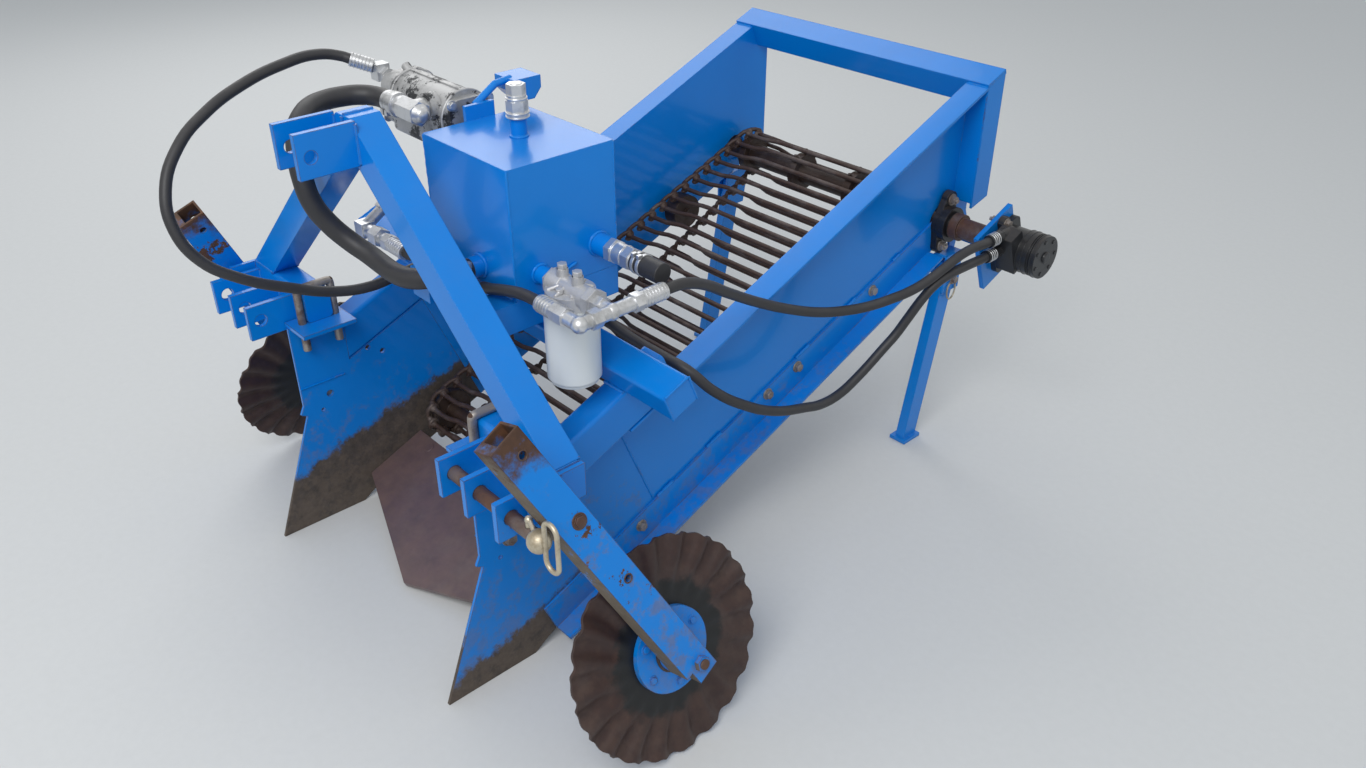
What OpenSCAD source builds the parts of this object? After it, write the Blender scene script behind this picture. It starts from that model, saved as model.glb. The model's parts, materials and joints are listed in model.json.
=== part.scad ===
// Single-row potato digger for a three-point hitch, parked on its plates and rear stands.
// Millimetres. +Z is up, +Y points to the rear of the machine, +X to its left side.

/* [Elevator frame] */
// Clear width between the side walls
inner_w = 576; // [540:4:620]
// Thickness of the side walls and front plates
wall_t = 6; // [4:1:8]
// Height of the rear top edge above the ground
rim_z = 788; // [770:2:810]
// Depth of the walls, square to the slope
wall_depth = 284; // [270:2:300]
// Width of the top flange and of the side rails
flange_w = 44; // [36:2:50]

/* [Hitch] */
// Hole diameter in the lower hitch ears
ear_bore = 23; // [22:0.5:25]
// Hole diameter in the top link clevis
clevis_bore = 20; // [19:0.5:26]
// Gap between the clevis plates
clevis_gap = 52; // [46:2:60]

/* [Digging chain] */
// Diameter of one rod
rod_d = 11; // [9:1:12]
// Number of rods in the loop
rod_count = 60; // [54:2:64]
// Sag of the return run at its middle
chain_sag = 28; // [10:2:34]

/* [Coulters] */
// Diameter of the coulter discs
disc_d = 356; // [330:2:360]
// Lean of the discs and arms away from upright
disc_tilt = 17; // [14:1:18]
// How far the right arm is set further in than the left one
right_inset = 30; // [20:2:36]

/* [Stands] */
// Depth of the flat stand legs, front to back
leg_w = 40; // [35:1:42]
// Forward lean of the stand legs
leg_lean = 10.8; // [9:0.2:11.6]

/* [Hidden] */
$fn = 48;

slope = 22.3;
rim_y = 1293;
xi = inner_w / 2;
xo = xi + wall_t;
xf = xo + flange_w;
x_mid = right_inset / 2;
y_mid = 639.9;

function sp(s, n) = [rim_y - s * cos(slope) + n * sin(slope),
                     rim_z - s * sin(slope) - n * cos(slope)];

// shaft and roller centres in slope coordinates: distance down the slope, depth under the rim
drive = [200, 234.7];
nose = [1117, 226];
drive_r = 47;
nose_r = 50;
drive_yz = sp(drive[0], drive[1]);
nose_yz = sp(nose[0], nose[1]);

// chain path: top run up, round the drive, return run with its sag, round the nose
run_l = nose[0] - drive[0];
arc_d = PI * drive_r;
arc_n = PI * nose_r;
loop_l = 2 * run_l + arc_d + arc_n;
function lerp(a, b, t) = a + (b - a) * t;
function deg(d, r) = d / r * 180 / PI;
function top_run(d) = [nose[0] - d, lerp(nose[1] - nose_r, drive[1] - drive_r, d / run_l)];
function back_run(t) = [lerp(drive[0], nose[0], t),
    lerp(drive[1] + drive_r, nose[1] + nose_r, t) + 4 * chain_sag * t * (1 - t)];
function chain_at(d) =
    d < run_l ? top_run(d) :
    d < run_l + arc_d ? let (a = deg(d - run_l, drive_r))
        [drive[0] - drive_r * sin(a), drive[1] - drive_r * cos(a)] :
    d < 2 * run_l + arc_d ? back_run((d - run_l - arc_d) / run_l) :
    let (a = deg(d - 2 * run_l - arc_d, nose_r))
        [nose[0] + nose_r * sin(a), nose[1] + nose_r * cos(a)];
rods = [for (i = [0 : rod_count - 1]) let (p = chain_at(i * loop_l / rod_count)) sp(p[0], p[1])];

// coulter disc centre, lean and the arm that carries it, left side
disc_r = disc_d / 2;
disc_c = [568, 203, 174];
arm_top = [0, -196, 421];

// stand pivot, and a point of the leg at width w from its middle and height z
stand_yz = [1212, 372];
function leg_pt(w, z) = [stand_yz[0] + (z - stand_yz[1]) * tan(leg_lean) + w / cos(leg_lean), z];

// hose centre lines
return_pts = [[472, 1100, 535], [472, 1084, 535], [471, 1055, 537], [468, 1015, 532],
    [463, 978, 518], [455, 940, 501], [445, 905, 489], [433, 868, 482], [418, 830, 476],
    [400, 790, 474], [380, 740, 480], [364, 672, 504], [358, 600, 540], [368, 520, 588],
    [380, 450, 632], [387, 402, 652], [388, 378, 655], [388, 362, 655]];
pressure_pts = [[470, 1100, 503], [470, 1086, 503], [469, 1040, 504], [465, 990, 500],
    [458, 960, 487], [450, 943, 466], [442, 930, 443], [434, 919, 419], [426, 904, 393],
    [419, 883, 371], [412, 858, 348], [407, 825, 324], [402, 780, 303], [398, 735, 299],
    [395, 695, 308], [392, 620, 332], [386, 545, 374], [372, 482, 424], [345, 452, 462], [300, 444, 470],
    [230, 432, 482], [160, 420, 502], [90, 408, 524], [20, 396, 546], [-45, 370, 561],
    [-85, 320, 565], [-104, 260, 562], [-112, 200, 554], [-120, 150, 546], [-130, 90, 553],
    [-140, 20, 580], [-150, -52, 618], [-165, -98, 656], [-182, -120, 708], [-202, -112, 764],
    [-230, -70, 815], [-258, -8, 848], [-278, 58, 870], [-294, 140, 886], [-302, 210, 889],
    [-293, 247, 881], [-285, 258, 876]];
suction_pts = [[-130, 247, 838], [-148, 247, 838], [-176, 241, 840], [-197, 222, 842],
    [-206, 192, 843], [-202, 160, 844], [-188, 130, 843], [-166, 103, 838], [-142, 80, 824],
    [-120, 66, 800], [-104, 60, 766], [-94, 64, 728], [-82, 80, 693], [-62, 100, 664],
    [-32, 114, 647], [5, 118, 639], [45, 118, 638], [80, 125, 641], [106, 140, 647],
    [122, 160, 652], [130, 176, 653], [130, 195, 653]];
spare_pts = [[297, 204, 655], [284, 204, 655], [252, 203, 653], [214, 201, 645], [178, 199, 635],
    [160, 198, 631], [145, 196, 623], [130, 195, 618], [112, 194, 618.5], [90, 193, 624],
    [68, 190, 631], [48, 187, 635], [20, 184, 636], [-2, 182, 634], [-22, 180, 628],
    [-36, 180, 628]];

module yz(x0, x1) { translate([x0, 0, 0]) rotate([90, 0, 90]) linear_extrude(x1 - x0) children(); }
module xz(y0, y1) { translate([0, y1, 0]) rotate([90, 0, 0]) linear_extrude(y1 - y0) children(); }
module on_slope() { translate([0, rim_y, rim_z]) rotate([slope, 0, 0]) children(); }
module sbox(x0, x1, s0, s1, n0, n1) {
    on_slope() translate([x0, -s1, -n1]) cube([x1 - x0, s1 - s0, n1 - n0]);
}
module box(x0, x1, y0, y1, z0, z1) { translate([x0, y0, z0]) cube([x1 - x0, y1 - y0, z1 - z0]); }
module xcyl(x0, x1, y, z, r) { translate([x0, y, z]) rotate([0, 90, 0]) cylinder(h = x1 - x0, r = r); }
module ycyl(y0, y1, x, z, r) { translate([x, y1, z]) rotate([90, 0, 0]) cylinder(h = y1 - y0, r = r); }
module zcyl(z0, z1, x, y, r) { translate([x, y, z0]) cylinder(h = z1 - z0, r = r); }
module hexz(z0, z1, x, y, r) { translate([x, y, z0]) cylinder(h = z1 - z0, r = r, $fn = 6); }
module hexx(x0, x1, y, z, r) {
    translate([x0, y, z]) rotate([0, 90, 0]) cylinder(h = x1 - x0, r = r, $fn = 6);
}
module hexy(y0, y1, x, z, r) {
    translate([x, y1, z]) rotate([90, 0, 0]) cylinder(h = y1 - y0, r = r, $fn = 6);
}
module sided(k) { mirror([k < 0 ? 1 : 0, 0, 0]) children(); }
module rrect(w, h, r) {
    translate([r, 0]) square([w - 2 * r, h]);
    translate([0, r]) square([w, h - 2 * r]);
    for (x = [r, w - r], y = [r, h - r]) translate([x, y]) circle(r);
}

function unit(v) = v / norm(v);
function tang(p, i) = unit(p[min(i + 1, len(p) - 1)] - p[max(i - 1, 0)]);
function side0(t) = unit(cross(t, abs(t[2]) < 0.8 ? [0, 0, 1] : [1, 0, 0]));
function side(p, i) = let (t = tang(p, i)) i == 0 ? side0(t) :
    let (q = side(p, i - 1)) unit(q - (q * t) * t);
function ring(p, i, r, m) = let (a = side(p, i), b = cross(tang(p, i), a))
    [for (k = [0 : m - 1]) p[i] + r * (cos(360 * k / m) * a + sin(360 * k / m) * b)];
module hose(p, r, m = 8) {
    n = len(p);
    polyhedron(points = [for (i = [0 : n - 1]) each ring(p, i, r, m)],
        faces = concat([[for (k = [0 : m - 1]) k]], [[for (k = [m - 1 : -1 : 0]) (n - 1) * m + k]],
            [for (i = [0 : n - 2], k = [0 : m - 1], h = [0, 1]) let (j = (k + 1) % m)
                h == 0 ? [i * m + k, (i + 1) * m + k, (i + 1) * m + j]
                       : [i * m + k, (i + 1) * m + j, i * m + j]]));
}

module front_plate() {
    difference() {
        yz(xi, xo) polygon([[60, 428], [60, 262], [52, 246], [64, 240], [-28, 0], [145, 0],
            sp(1307, wall_depth), sp(1037, wall_depth), sp(1037, 0), [165, sp(1219, 0)[1]],
            [165, 428]]);
        for (h = [[115, 270, 6.5], [96, 241, 3.5], [234, 317, 5], [205, 335, 5]])
            xcyl(xi - 1, xo + 1, h[0], h[1], h[2]);
    }
}

module wall() {
    difference() {
        yz(xi, xo) polygon([sp(1037, 0), sp(0, 0), [rim_y, 483], sp(118, wall_depth),
            sp(1037, wall_depth)]);
        xcyl(xi - 1, xo + 1, drive_yz[0], drive_yz[1], 30);
    }
    sbox(xo, xf, 0, 1037, 0, 5);
    yz(xo - 1, xf - 2) polygon([sp(58, 2), [1240, 530], [1245, 530], sp(52.6, 2)]);
    yz(xf - 5, xf) polygon([sp(57, 2), [1241, 520], [1293, 534], sp(1, 2)]);
}

module rail() {
    difference() {
        union() {
            sbox(xo, xo + 5, 119, 1307, 222, wall_depth);
            sbox(xo + 5, xo + flange_w - 3, 250, 1307, wall_depth - 5, wall_depth);
        }
        box(xo - 1, xf + 1, 100, 168, 0, 150);
        xcyl(xo - 1, xo + 6, drive_yz[0], drive_yz[1], 18);
    }
}

module rear_crossbar() {
    sbox(-xf, xf, 0, 56, -5, 0);
    sbox(-xi, xi, 51, 56, 0, 48);
}

module side_tube() {
    difference() {
        on_slope() translate([xi, -930, 0]) rotate([90, 0, 0]) linear_extrude(340) rrect(50, 75, 7);
        box(xi - 1, xf + 1, 0, 165, 200, 460);
    }
}

module cross_beam() {
    on_slope() yz(-450, 450) translate([-1018, 75]) rrect(56, 50, 5);
}

module tank_bar(x0) {
    box(x0, x0 + 50, 165, 413, 572, 622);
    difference() {
        box(x0 + 5, x0 + 45, 312, 352, 500, 572);
        sbox(x0 - 1, x0 + 51, 900, 1100, -125, -20);
    }
}

module share() {
    on_slope() translate([0, 0, -260]) difference() {
        linear_extrude(10) polygon([[0, -1430], [xi, -1318], [xi, -1187], [-xi, -1187], [-xi, -1318]]);
        for (k = [-1, 1]) sided(k) translate([0, -1430, 10]) rotate([0, 0, 21.3])
            rotate([-35, 0, 0]) translate([-60, -40, 0]) cube([400, 40, 20]);
    }
}

module hitch_stub(inset) {
    yz(268, 460) translate([91, 436]) rrect(50, 60, 8);
    box(460, 468, 45, 141, 438, 494);
    face = disc_c[0] - inset + 35 / cos(disc_tilt);
    xz(48, 88) polygon([[468, 446], [face - (446 - disc_c[2]) * tan(disc_tilt), 446],
        [face - (486 - disc_c[2]) * tan(disc_tilt), 486], [468, 486]]);
}

module hitch_ears() {
    for (x = [305, 369, 444]) difference() {
        box(x, x + 10, 0, 91, 419, 483);
        xcyl(x - 1, x + 11, 23, 453, ear_bore / 2);
    }
}

module clamp() {
    box(228, 302, 62, 165, 428, 436);
    for (y = [84, 148]) {
        zcyl(382, 503, 276, y, 6);
        hexz(416, 428, 276, y, 10);
        translate([276, y, 503]) sphere(6);
    }
    ycyl(84, 148, 276, 503, 6);
}

module mast_leg() {
    xz(91, 141) polygon([[457.7, 496], [19.1, 884], [0, 884], [0, 834.1], [382.3, 496]]);
}

module top_link_clevis() {
    for (x = [clevis_gap / 2, -clevis_gap / 2 - 10]) difference() {
        box(x, x + 10, -3, 91, 817, 884);
        xcyl(x - 1, x + 11, 18, 848, clevis_bore / 2);
    }
}

module hitch_pin() {
    difference() {
        xcyl(298, 505, 23, 453, 11);
        zcyl(430, 480, 496, 23, 5.5);
    }
}

module linchpin() {
    zcyl(436, 474, 496, 23, 5);
    translate([496, 23, 474]) sphere(6);
    translate([496, 23, 474]) rotate([0, 96.8, -18]) cylinder(h = 30, r = 3.5);
    translate([536, 10, 469]) sphere(17);
    for (k = [-1, 1]) {
        zcyl(451, 501, 565.5 + 13.5 * k, 8, 3.5);
        translate([565.5, 8, 476 + 25 * k]) rotate([90, 0, 0]) rotate([0, 0, k > 0 ? 0 : 180])
            rotate_extrude(angle = 180) translate([13.5, 0]) circle(3.5, $fn = 24);
    }
}

module link_bar(a, b, x) {
    v = b - a;
    translate([x, a[0], a[1]]) rotate([atan2(v[1], v[0]), 0, 0]) translate([-3.5, 0, -3])
        cube([7, norm(v), 6]);
}

module web_chain() {
    for (i = [0 : rod_count - 1]) {
        a = rods[i];
        b = rods[(i + 1) % rod_count];
        x = i % 2 == 0 ? 244 : 256;
        translate([-264, a[0], a[1]]) rotate([0, 90, 0])
            cylinder(h = 528, r = rod_d / 2, $fn = 6);
        for (k = [-1, 1]) link_bar(a, b, k * x);
    }
}

module nose_roller() {
    xcyl(-xi, xi, nose_yz[0], nose_yz[1], 15);
    for (x = [-250, -125, 0, 125, 250]) xcyl(x - 8, x + 8, nose_yz[0], nose_yz[1], 42);
}

module idler_rollers() {
    for (k = [-1, 1], s = [425, 738]) sided(k) {
        c = sp(s, 237);
        xcyl(225, xi, c[0], c[1], 9);
        xcyl(232, 266, c[0], c[1], 38);
    }
}

module drive_shaft() {
    xcyl(-332, 372, drive_yz[0], drive_yz[1], 12.5);
    xcyl(-262, 262, drive_yz[0], drive_yz[1], 24);
    for (x = [-230, -77, 77, 230]) xcyl(x - 9, x + 9, drive_yz[0], drive_yz[1], 40);
}

module bearing() {
    translate([0, drive_yz[0], drive_yz[1]]) difference() {
        union() {
            yz(xo + 5, xo + 19) {
                circle(33);
                for (k = [-1, 1]) translate([9 * k, 47 * k]) circle(17);
                polygon([[-32.5, 6], [-7.5, 50], [25.5, 44], [32.5, -6], [7.5, -50], [-25.5, -44]]);
            }
            xcyl(xo + 19, xo + 36, 0, 0, 36);
            xcyl(xo + 36, xo + 40, 0, 0, 24);
        }
        xcyl(xo, xo + 60, 0, 0, 12.6);
    }
}

module motor_coupling() {
    difference() {
        union() {
            xcyl(334, 352, drive_yz[0], drive_yz[1], 27);
            xcyl(352, 430, drive_yz[0], drive_yz[1], 21);
        }
        xcyl(330, 440, drive_yz[0], drive_yz[1], 12.6);
    }
}

module motor_plate() {
    difference() {
        sbox(436, 446, 160, 273, 169, 298);
        xcyl(430, 450, drive_yz[0], drive_yz[1], 32);
    }
    box(xo + 10, 437, 1234, 1254, 450, 470);
}

module motor() {
    xcyl(376, 446, drive_yz[0], drive_yz[1], 12);
    on_slope() translate([0, -drive[0], -drive[1]]) {
        yz(446, 458) { circle(44); translate([-44, -44]) rrect(88, 88, 12); }
        xcyl(458, 500, 0, 0, 40);
        yz(458, 500) translate([-46, -22]) square([36, 82]);
        xcyl(500, 522, 0, 0, 42);
        xcyl(522, 528, 0, 0, 40);
        xcyl(528, 539, 0, 0, 42);
    }
    for (p = [[472, 535], [470, 503]]) {
        ycyl(1140, 1174, p[0], p[1], 11);
        hexy(1128, 1142, p[0], p[1], 12);
        ycyl(1100, 1128, p[0], p[1], 12);
    }
}

module oil_tank() {
    translate([0, 215, 622]) linear_extrude(207) rrect(220, 198, 4);
    xcyl(219, 250, 262, 655, 14);
    xcyl(219, 252, 376, 670, 18);
    ycyl(195, 216, 130, 653, 17);
}

module filler_neck() {
    zcyl(829, 858, 110, 318, 12);
    zcyl(858, 868, 110, 318, 17);
    hexz(868, 884, 110, 318, 17);
    zcyl(884, 893, 110, 318, 15);
    hexz(893, 909, 110, 318, 15);
}

module filter_head() {
    hexx(250, 258, 262, 655, 21);
    xcyl(258, 340, 262, 655, 18);
    zcyl(634, 657, 293, 262, 38);
    hexx(340, 354, 262, 655, 22);
    for (x = [276, 312]) zcyl(655, 684, x, 262, 9);
}

module filter_canister() {
    zcyl(505, 512, 293, 262, 38);
    zcyl(512, 628, 293, 262, 42);
    zcyl(628, 634, 293, 262, 40);
}

module hose_tee() {
    hexx(354, 370, 262, 655, 15);
    xcyl(370, 388, 262, 655, 11);
    translate([388, 262, 655]) sphere(13);
    ycyl(262, 300, 388, 655, 11);
    hexy(300, 316, 388, 655, 15);
    ycyl(316, 362, 388, 655, 13);
    ycyl(204, 262, 388, 655, 11);
    hexy(222, 240, 388, 655, 15);
    translate([388, 204, 655]) sphere(13);
    xcyl(360, 388, 204, 655, 11);
    hexx(332, 360, 204, 655, 15);
    xcyl(297, 332, 204, 655, 13);
}

module outlet_elbow() {
    hexx(252, 264, 376, 670, 20);
    xcyl(264, 290, 376, 670, 17);
    hexx(290, 306, 376, 670, 19);
    xcyl(306, 366, 376, 670, 15.5);
}

module pump_holder() {
    box(-8, 0, 296, 350, 640, 852);
    box(-150, -8, 310, 340, 740, 764);
    box(-12, -8, 304, 328, 764, 850);
    translate([-14, 322, 846]) rotate([-58, 0, 0]) cylinder(h = 50, r = 6);
    translate([-14, 364, 872]) sphere(6);
    translate([-14, 364, 872]) rotate([-84, 0, 0]) cylinder(h = 30, r = 6);
    yz(-44, 10) polygon([[384, 878], [384, 858], [400, 842], [422, 842], [436, 858], [436, 878]]);
}

module pump() {
    difference() {
        yz(-205, -45) {
            translate([325, 818]) circle(44);
            translate([281, 764]) rrect(88, 54, 12);
        }
        box(-210, -40, 280, 370, 700, 764);
    }
    yz(-235, -205) translate([281, 770]) rrect(88, 88, 24);
    yz(-45, -30) translate([285, 774]) rrect(80, 80, 20);
    ycyl(272, 290, -80, 838, 22);
}

module pump_fittings() {
    ycyl(250, 272, -80, 838, 16);
    hexx(-102, -54, 247, 838, 20);
    xcyl(-116, -102, 247, 838, 17);
    xcyl(-130, -116, 247, 838, 20);
    hexx(-250, -235, 300, 848, 15);
    box(-270, -246, 284, 308, 840, 868);
    translate([-285, 258, 876]) rotate([-110, 0, -36]) cylinder(h = 38, r = 12);
}

module spare_coupling() {
    xcyl(-80, -36, 180, 628, 13);
    hexx(-96, -80, 180, 628, 15);
    xcyl(-110, -96, 180, 628, 11);
    hexx(-134, -110, 180, 628, 17);
    xcyl(-155, -134, 180, 628, 12);
    box(-179, -153, 167, 193, 616, 642);
    translate([-166, 184, 634]) rotate([-58, 0, 0]) cylinder(h = 34, r = 10);
    translate([-166, 212.8, 652]) rotate([-58, 0, 0]) cylinder(h = 14, r = 14, $fn = 6);
}

// local frame of a left coulter: X outward along the disc axle, Z up in the plane of the disc
module coulter(k) {
    sided(k) translate([disc_c[0] - (k < 0 ? right_inset : 0), disc_c[1], disc_c[2]])
        rotate([0, -disc_tilt, 0]) children();
}

module coulter_arm() {
    a = atan2(-arm_top[1], arm_top[2]);
    difference() {
        rotate([a, 0, 0]) {
            translate([35, -20, -26]) cube([40, 40, 520]);
            translate([35, -32, 0]) cube([40, 13, 494]);
        }
        rotate([a, 0, 0]) {
            translate([39, -16, 420]) cube([32, 32, 90]);
            for (z = [206, 330, 461]) translate([30, 0, z]) rotate([0, 90, 0]) cylinder(h = 50, r = 6);
        }
    }
    xcyl(-24, 36, 0, 0, 10);
    hexx(74, 83, 0, 0, 12);
}

module coulter_disc() {
    difference() {
        xcyl(-2.5, 2.5, 0, 0, disc_r);
        xcyl(-3, 3, 0, 0, 24);
    }
}

module coulter_hub() {
    difference() {
        union() {
            xcyl(2.5, 12, 0, 0, 68);
            xcyl(12, 29, 0, 0, 30);
            xcyl(-10, -2.5, 0, 0, 48);
            xcyl(-26, -10, 0, 0, 28);
            xcyl(-3, 3, 0, 0, 24);
        }
        xcyl(-24, 40, 0, 0, 10.05);
    }
}

module stand_bracket() {
    yz(xo + 5, xo + 10) polygon([[1232, 485], [1264, 485], [1240, 345], [1186, 345], [1186, 425],
        [1232, 432]]);
    box(xo + 34, xo + 39, 1186, 1240, 345, 429);
    box(xo + 10, xo + 34, 1188, 1238, 423, 429);
    xcyl(xo + 4, xo + 45, stand_yz[0], stand_yz[1], 6);
}

module stand_leg() {
    difference() {
        union() {
            yz(xo + 11, xo + 33) polygon([leg_pt(-leg_w / 2, 4), leg_pt(leg_w / 2, 4),
                leg_pt(leg_w / 2, 406), leg_pt(-leg_w / 2, 406)]);
            translate([0, leg_pt(0, 0)[0] - 27, 0]) box(xo + 2, xo + 42, 0, 54, 0, 8);
        }
        xcyl(xo, xo + 50, stand_yz[0], stand_yz[1], 6.05);
    }
}

module placed() { translate([-x_mid, -y_mid, 0]) children(); }

blue = [0.05, 0.35, 0.85];
module front_plate_left() color(blue) placed() sided(1) front_plate();
module front_plate_right() color(blue) placed() sided(-1) front_plate();
module wall_left() color(blue) placed() sided(1) wall();
module wall_right() color(blue) placed() sided(-1) wall();
module rail_left() color(blue) placed() sided(1) rail();
module rail_right() color(blue) placed() sided(-1) rail();
module rear_crossbar_node() color(blue) placed() rear_crossbar();
module side_tube_left() color(blue) placed() sided(1) side_tube();
module side_tube_right() color(blue) placed() sided(-1) side_tube();
module cross_beam_node() color(blue) placed() cross_beam();
module tank_bar_left() color(blue) placed() tank_bar(170);
module tank_bar_right() color(blue) placed() tank_bar(0);
module share_node() color([0.35, 0.24, 0.18]) placed() share();
module hitch_stub_left() color(blue) placed() sided(1) hitch_stub(0);
module hitch_stub_right() color(blue) placed() sided(-1) hitch_stub(right_inset);
module hitch_ears_left() color(blue) placed() sided(1) hitch_ears();
module hitch_ears_right() color(blue) placed() sided(-1) hitch_ears();
module clamp_left() color(blue) placed() sided(1) clamp();
module clamp_right() color(blue) placed() sided(-1) clamp();
module mast_leg_left() color(blue) placed() sided(1) mast_leg();
module mast_leg_right() color(blue) placed() sided(-1) mast_leg();
module top_link_clevis_node() color(blue) placed() top_link_clevis();
module hitch_pin_node() color([0.3, 0.2, 0.15]) placed() hitch_pin();
module linchpin_node() color([0.8, 0.77, 0.68]) placed() linchpin();
module web_chain_node() color([0.25, 0.18, 0.15]) placed() web_chain();
module nose_roller_node() color([0.2, 0.18, 0.17]) placed() nose_roller();
module idler_rollers_node() color([0.2, 0.18, 0.17]) placed() idler_rollers();
module drive_shaft_node() color([0.15, 0.14, 0.14]) placed() drive_shaft();
module bearing_left() color([0.08, 0.08, 0.09]) placed() sided(1) bearing();
module bearing_right() color([0.08, 0.08, 0.09]) placed() sided(-1) bearing();
module motor_coupling_node() color([0.3, 0.2, 0.15]) placed() motor_coupling();
module motor_plate_node() color(blue) placed() motor_plate();
module motor_node() color([0.06, 0.06, 0.07]) placed() motor();
module oil_tank_node() color(blue) placed() oil_tank();
module filler_neck_node() color([0.35, 0.5, 0.6]) placed() filler_neck();
module filter_head_node() color([0.7, 0.71, 0.73]) placed() filter_head();
module filter_canister_node() color([0.88, 0.9, 0.9]) placed() filter_canister();
module hose_tee_node() color([0.7, 0.72, 0.74]) placed() hose_tee();
module outlet_elbow_node() color([0.6, 0.65, 0.66]) placed() outlet_elbow();
module pump_holder_node() color(blue) placed() pump_holder();
module pump_node() color([0.68, 0.68, 0.7]) placed() pump();
module pump_fittings_node() color([0.6, 0.65, 0.66]) placed() pump_fittings();
module spare_coupling_node() color([0.7, 0.72, 0.74]) placed() spare_coupling();
module coulter_arm_left() color(blue) placed() coulter(1) coulter_arm();
module coulter_arm_right() color(blue) placed() coulter(-1) coulter_arm();
module coulter_disc_left() color([0.25, 0.17, 0.15]) placed() coulter(1) coulter_disc();
module coulter_disc_right() color([0.25, 0.17, 0.15]) placed() coulter(-1) coulter_disc();
module coulter_hub_left() color(blue) placed() coulter(1) coulter_hub();
module coulter_hub_right() color(blue) placed() coulter(-1) coulter_hub();
module stand_bracket_left() color(blue) placed() sided(1) stand_bracket();
module stand_bracket_right() color(blue) placed() sided(-1) stand_bracket();
module stand_leg_left() color(blue) placed() sided(1) stand_leg();
module stand_leg_right() color(blue) placed() sided(-1) stand_leg();
module return_hose() color([0.05, 0.05, 0.06]) placed() hose(return_pts, 9);
module pressure_hose() color([0.05, 0.05, 0.06]) placed() hose(pressure_pts, 9);
module suction_hose() color([0.05, 0.05, 0.06]) placed() hose(suction_pts, 16.5);
module spare_hose() color([0.05, 0.05, 0.06]) placed() hose(spare_pts, 9);

front_plate_left();
front_plate_right();
wall_left();
wall_right();
rail_left();
rail_right();
rear_crossbar_node();  // rear_crossbar
side_tube_left();
side_tube_right();
cross_beam_node();  // cross_beam
tank_bar_left();
tank_bar_right();
share_node();  // share
hitch_stub_left();
hitch_stub_right();
hitch_ears_left();
hitch_ears_right();
clamp_left();
clamp_right();
mast_leg_left();
mast_leg_right();
top_link_clevis_node();  // top_link_clevis
hitch_pin_node();  // hitch_pin
linchpin_node();  // linchpin
web_chain_node();  // web_chain
nose_roller_node();  // nose_roller
idler_rollers_node();  // idler_rollers
drive_shaft_node();  // drive_shaft
bearing_left();
bearing_right();
motor_coupling_node();  // motor_coupling
motor_plate_node();  // motor_plate
motor_node();  // motor
oil_tank_node();  // oil_tank
filler_neck_node();  // filler_neck
filter_head_node();  // filter_head
filter_canister_node();  // filter_canister
hose_tee_node();  // hose_tee
outlet_elbow_node();  // outlet_elbow
pump_holder_node();  // pump_holder
pump_node();  // pump
pump_fittings_node();  // pump_fittings
spare_coupling_node();  // spare_coupling
coulter_arm_left();
coulter_arm_right();
coulter_disc_left();
coulter_disc_right();
coulter_hub_left();
coulter_hub_right();
stand_bracket_left();
stand_bracket_right();
stand_leg_left();
stand_leg_right();
return_hose();
pressure_hose();
suction_hose();
spare_hose();
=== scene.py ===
"""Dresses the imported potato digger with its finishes, rods, hoses, welds and bolts.

Sizes are millimetres in the machine's own frame: X to its left from the middle of the trough,
Y to the rear from the hitch, Z up from the ground. TO_ROW turns them into the row frame.
"""

from __future__ import annotations

import json
import logging
import math
from dataclasses import dataclass, field
from enum import Enum

import bmesh
import bpy
from mathutils import Matrix, Vector

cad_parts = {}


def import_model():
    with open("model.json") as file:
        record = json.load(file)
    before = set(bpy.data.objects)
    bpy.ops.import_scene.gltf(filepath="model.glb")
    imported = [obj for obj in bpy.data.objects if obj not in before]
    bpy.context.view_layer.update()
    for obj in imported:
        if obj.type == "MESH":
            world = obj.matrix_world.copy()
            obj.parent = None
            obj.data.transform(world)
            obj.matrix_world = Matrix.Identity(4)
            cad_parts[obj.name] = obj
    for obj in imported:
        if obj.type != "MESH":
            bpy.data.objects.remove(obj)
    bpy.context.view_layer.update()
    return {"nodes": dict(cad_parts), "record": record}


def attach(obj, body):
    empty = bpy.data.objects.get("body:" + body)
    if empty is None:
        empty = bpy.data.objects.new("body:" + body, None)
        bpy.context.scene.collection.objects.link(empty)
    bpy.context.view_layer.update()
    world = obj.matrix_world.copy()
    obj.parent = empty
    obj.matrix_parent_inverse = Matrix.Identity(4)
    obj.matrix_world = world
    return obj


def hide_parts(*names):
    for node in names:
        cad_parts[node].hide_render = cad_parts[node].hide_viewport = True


LOG = logging.getLogger("digger")
MM = 0.001
MID_X, MID_Y = 15.0, 639.9
TO_ROW = Matrix.Scale(MM, 4) @ Matrix.Translation((-MID_X, -MID_Y, 0.0))
WALL_OUT = 294.0
Point = tuple[float, float, float]
Colour = tuple[float, float, float, float]
Value = bpy.types.NodeSocket | float


@dataclass(frozen=True)
class Slope:
    """The trough's slope: its rear top corner, its angle, and places along and under the rim."""

    rim_y: float = 1293.0
    rim_z: float = 788.0
    degrees: float = 22.3

    def at(self, x: float, s: float, n: float) -> Vector:
        """A place s down the slope and n under the rim, at x across.

        Args:
            x: the distance across.
            s: the distance down the slope.
            n: the depth under the rim.

        Returns:
            The place.
        """
        a = math.radians(self.degrees)
        return Vector((x, self.rim_y - s * math.cos(a) + n * math.sin(a),
                       self.rim_z - s * math.sin(a) - n * math.cos(a)))


SLOPE = Slope()
DRIVE = SLOPE.at(0, 200.0, 234.7)


class Side(Enum):
    """A side of the machine and the sign of its X."""

    LEFT = 1
    RIGHT = -1

    @property
    def word(self) -> str:
        """The side's name as it stands in node names."""
        return self.name.lower()


# Shader graphs


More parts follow.
